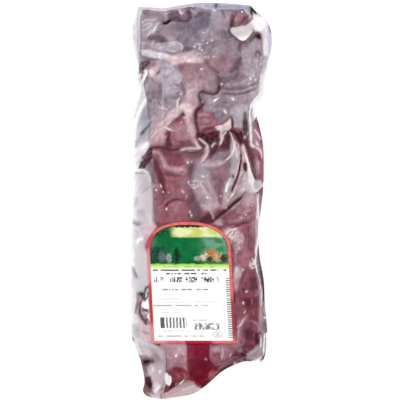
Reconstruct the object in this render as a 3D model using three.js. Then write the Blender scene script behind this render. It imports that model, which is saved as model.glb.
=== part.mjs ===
import * as THREE from 'three';

// A boneless loin of venison in a clear shrunk bag, lying on its back with its label up.
// Millimetres. X runs across the pack, Y along it and Z up from the table.

// Heights and thicknesses
const MEAT_THICKNESS = 31;      // of the flat of the meat, without its lumps and creases
const SEAM_HEIGHT = 7;          // where the two films meet, beside the meat
const EDGE_HEIGHT = 2.4;        // of the free edge of the film above the table
const FILM_THICKNESS = 0.9;     // of the two films together, with what is shut between them
const SEAM_FALL = 9;            // how far from the meat the film has sunk to the table
const SHOULDER = 17;            // width of the rounded upper side of the meat
const UNDERSIDE = 11;           // width of the rounded lower side

// The bag's own outline: the two long edges from foot to top, and the two ends from left to right
const LEFT_EDGE = [
  [-51.5, -187.5], [-56, -182], [-54, -173], [-58, -152], [-65, -136], [-67.5, -119], [-69.5, -98.5],
  [-67.5, -76], [-66.5, -48], [-67, -23.5], [-66, 5.5], [-65, 24.5], [-63.5, 39], [-66, 58],
  [-65, 79], [-62.5, 95.5], [-59.5, 110], [-61, 123.5], [-62, 137], [-64.5, 149.5], [-66, 163.5],
  [-64.5, 177], [-60.5, 187],
];
const RIGHT_EDGE = [
  [59, -156], [62.5, -147], [64.5, -134], [64, -119], [62, -100.5], [61, -76.5], [57, -53.5],
  [55.5, -28.5], [58.5, -5.5], [60.5, 14], [61, 39], [60, 57], [57, 71.5], [54, 84], [53.5, 94],
  [61.5, 103], [61.5, 116], [64, 130], [67, 142.5], [69, 154], [67.5, 166], [63, 177], [55, 181.5],
  [48.5, 188.5],
];
const TOP_EDGE = [
  [-60.5, 187], [-48.5, 187], [-36.5, 185.5], [-19.5, 188.5], [0, 191], [24, 190.5], [48.5, 188.5],
];
const FOOT_EDGE = [
  [-51.5, -187.5], [-37, -190], [-21.5, -188], [-7, -185], [6, -176.5], [20.5, -163.5], [39, -154.5],
  [50, -154], [59, -156],
];

// Width of the empty film beside the meat: up the left and the right side by Y, and at each end by X
const LEFT_MARGIN = [
  [-188, 13], [-180, 18], [-150, 22], [-135, 18], [-122, 12], [-90, 11.5], [-76, 17], [-38, 17],
  [-14, 20.5], [10, 19.5], [27, 14.5], [35, 6], [42, 6], [50, 16], [62, 16], [80, 11], [98, 5],
  [112, 1.5], [130, 2.5], [163, 7], [184, 5.5],
];
const RIGHT_MARGIN = [
  [-150, 4.5], [-126, 3], [-90, 1.8], [-30, 1.5], [-8, 3], [13, 4.5], [38, 10], [62, 11.5], [83, 5],
  [107, 4.5], [124, 1.5], [140, 3], [157, 7], [165, 13], [175, 14], [185, 6],
];
const TOP_MARGIN = [[-56, 3], [-15, 2.5], [5, 4], [46, 4]];
const FOOT_MARGIN = [[-45, 5], [-30, 7], [-20, 13.5], [-10, 12.5], [0, 5], [8, 2], [44, 2], [57, 8]];

// Muscles and lumps that stand above the flat: place, reach across and along, turn, rise
const LUMPS = [
  { at: [-38, 176], reach: [16, 12], turn: 0, rise: -4 },
  { at: [34, 178], reach: [20, 12], turn: -10, rise: -3 },
  { at: [-10, 150], reach: [34, 20], turn: 0, rise: 4 },
  { at: [50, 130], reach: [16, 26], turn: 0, rise: 2 },
  { at: [24, 128], reach: [14, 10], turn: 0, rise: 3 },
  { at: [-34, 116], reach: [16, 18], turn: 10, rise: 3 },
  { at: [28, 96], reach: [22, 18], turn: 0, rise: 2.5 },
  { at: [-22, 74], reach: [18, 18], turn: 0, rise: 2.5 },
  { at: [6, 74], reach: [9, 14], turn: 0, rise: 2 },
  { at: [-26, 24], reach: [17, 26], turn: 0, rise: 3 },
  { at: [22, 38], reach: [22, 16], turn: -20, rise: 2 },
  { at: [38, -10], reach: [14, 30], turn: 10, rise: 2.5 },
  { at: [-26, -62], reach: [24, 60], turn: 2, rise: 2.5 },
  { at: [32, -76], reach: [20, 56], turn: -3, rise: 2 },
  { at: [-24, -148], reach: [10, 22], turn: 0, rise: -4 },
  { at: [-24, -176], reach: [18, 12], turn: 0, rise: -9 },
  { at: [30, -150], reach: [28, 12], turn: 20, rise: -5 },
  { at: [0, -168], reach: [12, 22], turn: 0, rise: -9 },
];

// Creases between the muscles, and places where the film dips in: route, half width, depth
const CREASES = [
  { route: [[-50, 48], [-34, 52], [-24, 48], [0, 49], [14, 55], [26, 66], [41, 58]], half: 5, depth: 9 },
  { route: [[2, 58], [14, 60]], half: 8, depth: 10 },
  { route: [[16, 111], [-1, 104], [-2, 95], [2, 92], [-4, 82], [-5, 68], [-2, 58]], half: 4.5, depth: 4 },
  { route: [[4, 135], [15, 121], [27, 119], [38, 129], [41, 138]], half: 4.5, depth: 4 },
  { route: [[20, 103], [39, 107], [56, 111]], half: 4, depth: 3 },
  { route: [[-49, 151], [-34, 158]], half: 4.5, depth: 5 },
  { route: [[31, 163], [45, 166]], half: 7, depth: 20 },
  { route: [[46, 11], [26, -7], [6, -21], [-2, -40], [-3, -100], [-4, -140]], half: 5, depth: 8 },
  { route: [[-4, -140], [-2, -158], [0, -172]], half: 8, depth: 7 },
  { route: [[-32, -8], [-20, 2], [-8, -3]], half: 4.5, depth: 3.5 },
  { route: [[-44, 46], [-42, 26], [-44, 8]], half: 4.5, depth: 4 },
  { route: [[39, 45], [36, 26], [30, 8]], half: 4.5, depth: 3.5 },
];

// Raised bands: the streak of fat, a folded muscle and the film's ridges
const BANDS = [
  { route: [[-54, 139], [-28, 137], [2, 132]], half: 4, rise: 2.2 },
  { route: [[-38, 48], [-31, 34], [-19, 27]], half: 6, rise: 3 },
  { route: [[54, -26], [51, -50], [53, -62], [59, -80], [58, -104]], half: 2.6, rise: 1.8 },
];

// Red juice shut between the films, and the crumpled tail: place, reach across and along, turn, rise
const POCKETS = [
  { at: [55, 46], reach: [8, 30], turn: 0, rise: 5 },
  { at: [-18, -180], reach: [20, 7], turn: 0, rise: 2.5 },
];

// Slow waves of the upper face and of the film's free edge: height, and length over 2 pi each way
const UPPER_WAVES = [{ height: 0.7, across: 5.3, along: 11 }, { height: 0.7, across: -14, along: 6.1 }];
const EDGE_WAVES = [{ height: 1.1, across: 9, along: 6.5 }, { height: 0.55, across: 40, along: 3.1 }];

// Label: a sheet with an arched top that leans a little to the left
const LABEL_FOOT = [-6.2, -135.5];
const LABEL_WIDTH = 80.5;
const LABEL_SIDE = 90;
const ARCH_RISE = 26.3;
const ARCH_POWER = 2.3;
const LABEL_LEAN = -0.055;      // sideways for each millimetre upwards
const LABEL_THICKNESS = 0.35;
const LABEL_GAP = 0.5;
const LABEL_CALM = 10;          // how far outside the label the film is still drawn smooth by it
const LABEL_SPREAD = 7;         // how much wider the meat's rounded side reaches under the label
const LABEL_BRIDGING = 0.8;     // share of a crease's depth that the label covers over

// How finely the faces are divided
const COLUMNS = 40;
const ROWS = 104;
const MARGIN_CELLS = 4;         // of them on each side and end over the empty film
const COLUMN_CROWDING = 0.35;   // how much closer they lie at the sides of the meat than in its middle
const ROW_CROWDING = 0.1;
const UNDER_STEP = 2;           // the underside has one cell for this many cells of the upper face
const LABEL_COLUMNS = 20;
const LABEL_ROWS = 26;

function spline(points) {
  return new THREE.SplineCurve(points.map(([x, y]) => new THREE.Vector2(x, y)));
}

function smooth(from, to, value) {
  return THREE.MathUtils.smoothstep(value, from, to);
}

// Distance from a point to a route of straight steps
function distanceToRoute(x, y, route) {
  let nearest = Infinity;
  for (let i = 1; i < route.length; i += 1) {
    const [ax, ay] = route[i - 1];
    const [bx, by] = route[i];
    const along = ((x - ax) * (bx - ax) + (y - ay) * (by - ay)) / ((bx - ax) ** 2 + (by - ay) ** 2);
    const t = THREE.MathUtils.clamp(along, 0, 1);
    nearest = Math.min(nearest, Math.hypot(x - ax - t * (bx - ax), y - ay - t * (by - ay)));
  }
  return nearest;
}

// Distance to a closed outline, positive inside it
function distanceInside(x, y, outline) {
  let inside = false;
  for (let i = 1; i < outline.length; i += 1) {
    const [ax, ay] = outline[i - 1];
    const [bx, by] = outline[i];
    if ((ay > y) !== (by > y) && x < ((bx - ax) * (y - ay)) / (by - ay) + ax) inside = !inside;
  }
  const distance = distanceToRoute(x, y, outline);
  return inside ? distance : -distance;
}

// Value of a list of [place, value] pairs, eased between them
function lookUp(pairs, place) {
  const after = pairs.findIndex(([at]) => at > place);
  if (after === 0) return pairs[0][1];
  if (after < 0) return pairs[pairs.length - 1][1];
  const [from, low] = pairs[after - 1];
  const [to, high] = pairs[after];
  return THREE.MathUtils.lerp(low, high, smooth(from, to, place));
}

// Share of the width at which grid line i of count lies, with margins at both ends of the width
function gridShare(i, count, crowding, width, startMargin, endMargin) {
  const start = startMargin / width;
  const end = 1 - endMargin / width;
  if (i <= MARGIN_CELLS) return (start * i) / MARGIN_CELLS;
  if (i >= count - MARGIN_CELLS) return 1 - ((1 - end) * (count - i)) / MARGIN_CELLS;
  const t = (i - MARGIN_CELLS) / (count - 2 * MARGIN_CELLS);
  const crowded = t - (crowding * Math.sin(2 * Math.PI * t)) / (2 * Math.PI);
  return THREE.MathUtils.lerp(start, end, crowded);
}

const edges = {
  left: spline(LEFT_EDGE),
  right: spline(RIGHT_EDGE),
  foot: spline(FOOT_EDGE),
  top: spline(TOP_EDGE),
};

// A point of the bag seen from above: the four edges blended at shares u across and v along
function bagPoint(u, v) {
  const across = edges.left.getPointAt(v).lerp(edges.right.getPointAt(v), u);
  const along = edges.foot.getPointAt(u).lerp(edges.top.getPointAt(u), v);
  const foot = edges.foot.getPointAt(0).lerp(edges.foot.getPointAt(1), u);
  const top = edges.top.getPointAt(0).lerp(edges.top.getPointAt(1), u);
  const point = across.add(along).sub(foot.lerp(top, v));
  return [point.x, point.y];
}

// Rows of points from the foot up, with grid lines that follow the sides of the meat
function bagGrid() {
  const grid = [];
  for (let j = 0; j <= ROWS; j += 1) {
    const left = edges.left.getPointAt(j / ROWS);
    const right = edges.right.getPointAt(j / ROWS);
    const sides = [right.distanceTo(left), lookUp(LEFT_MARGIN, left.y), lookUp(RIGHT_MARGIN, right.y)];
    const row = [];
    for (let i = 0; i <= COLUMNS; i += 1) {
      const foot = edges.foot.getPointAt(i / COLUMNS);
      const top = edges.top.getPointAt(i / COLUMNS);
      const ends = [top.distanceTo(foot), lookUp(FOOT_MARGIN, foot.x), lookUp(TOP_MARGIN, top.x)];
      const u = gridShare(i, COLUMNS, COLUMN_CROWDING, ...sides);
      const v = gridShare(j, ROWS, ROW_CROWDING, ...ends);
      row.push(bagPoint(THREE.MathUtils.clamp(u, 0, 1), THREE.MathUtils.clamp(v, 0, 1)));
    }
    grid.push(row);
  }
  return grid;
}

// Steps once round a grid, anticlockwise seen from above, so many cells in from its edge
function round(columns, rows, cellsIn) {
  const places = [];
  const right = columns - cellsIn;
  const top = rows - cellsIn;
  for (let i = cellsIn; i < right; i += 1) places.push([cellsIn, i]);
  for (let j = cellsIn; j < top; j += 1) places.push([j, right]);
  for (let i = right; i > cellsIn; i -= 1) places.push([top, i]);
  for (let j = top; j > cellsIn; j -= 1) places.push([j, cellsIn]);
  return places;
}

const bag = bagGrid();
const meatEdge = round(COLUMNS, ROWS, MARGIN_CELLS).map(([j, i]) => bag[j][i]);
meatEdge.push(meatEdge[0]);

// The label's own coordinates are across from its middle and up from its foot
function labelPoint(across, up) {
  return [LABEL_FOOT[0] + across + up * LABEL_LEAN, LABEL_FOOT[1] + up];
}

function labelTop(across) {
  const part = Math.min(Math.abs(across) / (LABEL_WIDTH / 2), 1);
  return LABEL_SIDE + ARCH_RISE * (1 - part ** ARCH_POWER) ** (1 / ARCH_POWER);
}

function labelColumn(i) {
  return (LABEL_WIDTH / 2) * Math.sin((i / LABEL_COLUMNS - 0.5) * Math.PI);
}

function labelOutline() {
  const columns = Array.from({ length: LABEL_COLUMNS + 1 }, (_, i) => labelColumn(i));
  const arch = columns.map((across) => labelPoint(across, labelTop(across)));
  const foot = [labelPoint(LABEL_WIDTH / 2, 0), labelPoint(-LABEL_WIDTH / 2, 0)];
  return [...arch, ...foot, arch[0]];
}

const labelEdge = labelOutline();

// 1 under the label, falling to 0 a little way outside it
function calmAt(x, y) {
  return smooth(-LABEL_CALM, 0, distanceInside(x, y, labelEdge));
}

function lumpHeight(x, y, lumps) {
  let height = 0;
  for (const { at, reach, turn, rise } of lumps) {
    const angle = THREE.MathUtils.degToRad(turn);
    const across = (x - at[0]) * Math.cos(angle) + (y - at[1]) * Math.sin(angle);
    const along = (y - at[1]) * Math.cos(angle) - (x - at[0]) * Math.sin(angle);
    height += rise * Math.exp(-((across / reach[0]) ** 2) - (along / reach[1]) ** 2);
  }
  return height;
}

function waveHeight(x, y, waves) {
  return waves.reduce((sum, wave) => sum + wave.height * Math.sin(x / wave.across + y / wave.along), 0);
}

// The largest of the named size of all the routes, each fading to both sides of its route
function strongest(x, y, features, size) {
  const sizes = features.map((feature) => {
    const share = distanceToRoute(x, y, feature.route) / feature.half;
    return feature[size] * Math.exp(-(share ** 2));
  });
  return Math.max(...sizes);
}

function meatThickness(x, y, calm) {
  const crease = strongest(x, y, CREASES, 'depth') * (1 - LABEL_BRIDGING * calm);
  const relief = strongest(x, y, BANDS, 'rise') + waveHeight(x, y, UPPER_WAVES);
  return MEAT_THICKNESS + lumpHeight(x, y, LUMPS) - crease + relief * (1 - calm);
}

// Middle height of the film outside the meat, sinking from the seam to the waving free edge
function filmHeight(x, y, outside) {
  const sunk = 1 - Math.exp(-outside / SEAM_FALL);
  return SEAM_HEIGHT + (EDGE_HEIGHT - SEAM_HEIGHT + waveHeight(x, y, EDGE_WAVES)) * sunk;
}

function topHeight(x, y) {
  const calm = calmAt(x, y);
  const inside = distanceInside(x, y, meatEdge) + LABEL_SPREAD * calm;
  const pocket = lumpHeight(x, y, POCKETS);
  if (inside <= 0) return filmHeight(x, y, -inside) + FILM_THICKNESS / 2 + pocket;
  const step = Math.min(inside / SHOULDER, 1);
  const arc = Math.sqrt(1 - (1 - step) ** 2);
  const slope = Math.sin((step * Math.PI) / 2);
  const crown = THREE.MathUtils.lerp(arc, slope, calm);
  const seam = SEAM_HEIGHT + FILM_THICKNESS / 2 + pocket;
  return seam + (meatThickness(x, y, calm) - seam) * crown;
}

function underHeight(x, y) {
  const inside = distanceInside(x, y, meatEdge);
  if (inside <= 0) return filmHeight(x, y, -inside) - FILM_THICKNESS / 2;
  const step = Math.min(inside / UNDERSIDE, 1);
  return (SEAM_HEIGHT - FILM_THICKNESS / 2) * (1 - Math.sqrt(1 - (1 - step) ** 2));
}

// Collects corner points and triangles of one closed body
class Body {
  constructor() {
    this.points = [];
    this.faces = [];
  }

  point(x, y, z) {
    this.points.push(x, y, z);
    return this.points.length / 3 - 1;
  }

  fan(corners) {
    for (let i = 2; i < corners.length; i += 1) this.faces.push(corners[0], corners[i - 1], corners[i]);
  }

  geometry() {
    const geometry = new THREE.BufferGeometry();
    geometry.setAttribute('position', new THREE.Float32BufferAttribute(this.points, 3));
    geometry.setIndex(this.faces);
    geometry.computeVertexNormals();
    return geometry;
  }
}

// A body between an upper and an under face over one grid; the under face can be coarser
function sheetBody(grid, upper, under, underStep) {
  const rows = grid.length - 1;
  const columns = grid[0].length - 1;
  const body = new Body();
  const onRim = (j, i) => j === 0 || i === 0 || j === rows || i === columns;
  const above = grid.map((row) => row.map(([x, y]) => body.point(x, y, upper(x, y))));
  const below = grid.map((row, j) => row.map(([x, y], i) => {
    const used = onRim(j, i) || (j % underStep === 0 && i % underStep === 0);
    return used ? body.point(x, y, under(x, y)) : -1;
  }));
  for (let j = 0; j < rows; j += 1) {
    for (let i = 0; i < columns; i += 1) {
      body.fan([above[j][i], above[j][i + 1], above[j + 1][i + 1], above[j + 1][i]]);
    }
  }
  for (let j = 0; j < rows; j += underStep) {
    for (let i = 0; i < columns; i += underStep) {
      body.fan(underCell(below, onRim, j, i, underStep));
    }
  }
  const places = round(columns, rows, 0);
  places.forEach(([j, i], k) => {
    const [nextJ, nextI] = places[(k + 1) % places.length];
    body.fan([below[j][i], below[nextJ][nextI], above[nextJ][nextI], above[j][i]]);
  });
  return body.geometry();
}

// The corners of one cell of the under face, clockwise from above, with the finer points of the rim.
// It starts at a corner inside the rim where there is one, so that no triangle of the fan is flat.
function underCell(below, onRim, j, i, step) {
  const corners = [];
  for (let k = 0; k < step; k += 1) corners.push([j + k, i]);
  for (let k = 0; k < step; k += 1) corners.push([j + step, i + k]);
  for (let k = step; k > 0; k -= 1) corners.push([j + k, i + step]);
  for (let k = step; k > 0; k -= 1) corners.push([j, i + k]);
  const used = corners.filter(([cellJ, cellI]) => below[cellJ][cellI] >= 0);
  const first = Math.max(used.findIndex(([cellJ, cellI]) => !onRim(cellJ, cellI)), 0);
  const turned = [...used.slice(first), ...used.slice(0, first)];
  return turned.map(([cellJ, cellI]) => below[cellJ][cellI]);
}

function makeBag() {
  const geometry = sheetBody(bag, topHeight, underHeight, UNDER_STEP);
  const material = new THREE.MeshStandardMaterial({ color: 0x9c6f7c, roughness: 0.22, metalness: 0 });
  const mesh = new THREE.Mesh(geometry, material);
  mesh.name = 'packed_loin';
  return mesh;
}

function makeLabel() {
  const grid = [];
  for (let j = 0; j <= LABEL_ROWS; j += 1) {
    const row = [];
    for (let i = 0; i <= LABEL_COLUMNS; i += 1) {
      const across = labelColumn(i);
      row.push(labelPoint(across, (labelTop(across) * j) / LABEL_ROWS));
    }
    grid.push(row);
  }
  const under = (x, y) => topHeight(x, y) + LABEL_GAP;
  const upper = (x, y) => under(x, y) + LABEL_THICKNESS;
  const material = new THREE.MeshStandardMaterial({ color: 0xf1eeec, roughness: 0.45, metalness: 0 });
  const mesh = new THREE.Mesh(sheetBody(grid, upper, under, 1), material);
  mesh.name = 'label';
  return mesh;
}

// The origin is under the middle of the pack, on the table
const group = new THREE.Group();
group.add(makeBag(), makeLabel());
const box = new THREE.Box3().setFromObject(group);
const middle = box.getCenter(new THREE.Vector3());
group.position.set(-middle.x, -middle.y, -box.min.z);

export default group;
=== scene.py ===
import math

import bpy
import numpy as np
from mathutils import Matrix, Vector, noise


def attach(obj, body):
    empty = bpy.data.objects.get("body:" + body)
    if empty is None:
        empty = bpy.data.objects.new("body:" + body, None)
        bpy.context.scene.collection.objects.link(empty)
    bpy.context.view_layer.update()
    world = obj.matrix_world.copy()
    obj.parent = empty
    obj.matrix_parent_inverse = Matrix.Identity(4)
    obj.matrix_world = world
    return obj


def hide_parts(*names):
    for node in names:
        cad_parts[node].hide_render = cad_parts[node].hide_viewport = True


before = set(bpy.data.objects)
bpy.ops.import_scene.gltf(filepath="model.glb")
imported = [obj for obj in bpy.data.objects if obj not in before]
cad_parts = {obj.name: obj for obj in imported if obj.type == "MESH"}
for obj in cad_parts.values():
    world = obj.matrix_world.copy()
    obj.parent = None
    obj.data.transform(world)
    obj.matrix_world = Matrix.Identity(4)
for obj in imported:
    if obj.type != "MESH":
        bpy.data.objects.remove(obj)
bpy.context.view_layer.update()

# A vacuum-packed loin of venison, seen from straight above. Metres.
# Marks on the meat and the film are placed by the photograph's pixels, x to the right and y down.
# PIXEL is the real size of one, and MIDDLE is the pixel above the origin.
PIXEL = 0.00096
MIDDLE = (200.2, 199.9)
MM = 0.001

FINENESS = 2  # times that each cell of the solid is halved for the fine surfaces
MARGIN_RINGS = 4  # cells of empty film all round the meat, on the upper face
MARGIN_RINGS_UNDER = 2
FILM_STANDS_OFF = 0.35 * MM

# Relief of the meat: size of its lumps in pixels, seed, height in millimetres
LUMPS = ((15, 3, 0.5), (6, 5, 0.28), (3, 7, 0.12))
DEEPEST = 3.5  # millimetres
CREASE_SPREAD = 1.4  # width of a crease against that of its painted stroke
LABEL_SMOOTHS = 4 * MM  # reach of the smooth ground beside the label
RELIEF_UNDER_LABEL = 0.1  # share of the relief that is left under it

LIGHT_LEVEL = 2.0  # how much brighter a colour looks under these lights than it is painted
FILM_GAIN = 1.35  # how much brighter the film is painted, for the light that it lets through
GAIN_STARTS, GAIN_FULL = 430, 560  # sums of a shade's red, green and blue
DARK_SHADE = 380  # such a sum, below which a stroke of film is even and a little wider
THINNEST = 0.001  # cover of the film where nothing is laid on it
NEXT_TO_NOTHING = 1e-6
FOLD_SHADOW_SHIFT = (0.9, 0.9)  # pixels from a fold of film to the painted shadow that it casts on the meat
# How dark that painted shadow beside a fold is
FOLD_SHADOW_DARKNESS = 0.7
TIP = 0.35  # width of a stroke's ends, as a share of its middle's
WAVER = 0.5  # pixels by which drawn edges waver
PAINTED_SLOPE_SHADING = 0.26  # painted shading: how much lighter the lumps are painted on the side that faces the window light, and darker on the far side
SLOPE_STEP = 0.8  # pixels to either side, between which the slope is measured
FULL_SLOPE = 0.4  # millimetres between them at which most of that shade is reached
HALO = 0.35  # cover of the soft edge beside a stroke of film, as a share of the stroke's
# Grain of the meat's colour: size of its lumps in pixels, seed, strength
GRAIN = ((12, 51, 0.22), (5, 52, 0.22), (2.6, 53, 0.2))
REDDER = (7, 54, 0.08)  # the same for a shift of the colour towards red
MOTTLE_BELOW = (22, 21)  # size and seed of the mottle on the lower face
# Wrinkles of the film, pale lines that are partly whitish film and partly painted sheen: size of their lumps,
# across and along, turn, seed, strength
WRINKLES = (((5, 16), 35, 61, 0.16), ((4, 12), -25, 62, 0.13), ((6, 9), 80, 63, 0.1))
WRINKLE_WIDTH = 0.07
WRINKLES_FADE = (200, 90)  # from faint to full, in pixels down
WRINKLES_LOW = 0.12  # how much of them is left on the lower half
GLINT_BRIGHTNESS = (1.0, 0.7, 0.85, 0.55, 0.9)  # brightness of the painted glints, taken in turn

# Label: its foot's middle, its size, its arch and its lean
LABEL_FOOT = (-0.00594, -0.13606)
LABEL_WIDTH = 0.0805
LABEL_SIDE = 0.090
ARCH_RISE = 0.0263
ARCH_POWER = 2.3
LABEL_LEAN = -0.055

# Materials: how strongly each one mirrors, and its roughness
MEAT_SHINE, FILM_SHINE, LABEL_SHINE = 0.015, 0.03, 0.06
WET, PAPER = 0.2, 0.4
# Millimetres of their noise along each axis
FIBRES, MOTTLE, MEAT_CREASES = (0.9, 4, 3), (4, 5, 4), (2.2, 4.5, 3)
FILM_CREASES = (2.6, 5.5, 4)
PAPER_GRAIN = (1.2, 1.2, 1.2)

# Colours of the meat and the film as they look from above, in sRGB
# White, pale and the pinkish white of fat also paint highlights; wine and black also paint shade in creases
# and recesses.
SHADES = {
    "white": (252, 250, 252),
    "pale": (222, 215, 223),
    "film": (206, 200, 206),
    "blue film": (190, 192, 212),
    "lavender": (170, 164, 188),
    "violet film": (140, 140, 168),
    "shadow film": (150, 142, 158),
    "ink violet": (70, 62, 88),
    "warm grey": (186, 164, 168),
    "lilac": (184, 172, 184),
    "pale mauve": (168, 151, 162),
    "mauve": (148, 127, 138),
    "warm mauve": (148, 110, 122),
    "grey mauve": (134, 119, 131),
    "grey violet": (116, 106, 123),
    "plum": (118, 94, 107),
    "dark mauve": (104, 80, 92),
    "purple red": (134, 92, 105),
    "window": (238, 232, 232),
    "fat and highlight": (236, 212, 214),
    "blush": (210, 182, 188),
    "soft pink": (198, 158, 168),
    "pink": (184, 142, 152),
    "dusty rose": (158, 120, 130),
    "rose": (158, 102, 114),
    "meat": (138, 80, 93),
    "raw red": (140, 58, 72),
    "dull red": (128, 73, 86),
    "dark red": (110, 50, 64),
    "wine": (80, 34, 46),
    "crimson": (142, 34, 66),
    "juice": (134, 14, 40),
    "dark juice": (104, 6, 26),
    "brown": (124, 90, 90),
    "black": (40, 6, 16),
}

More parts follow.
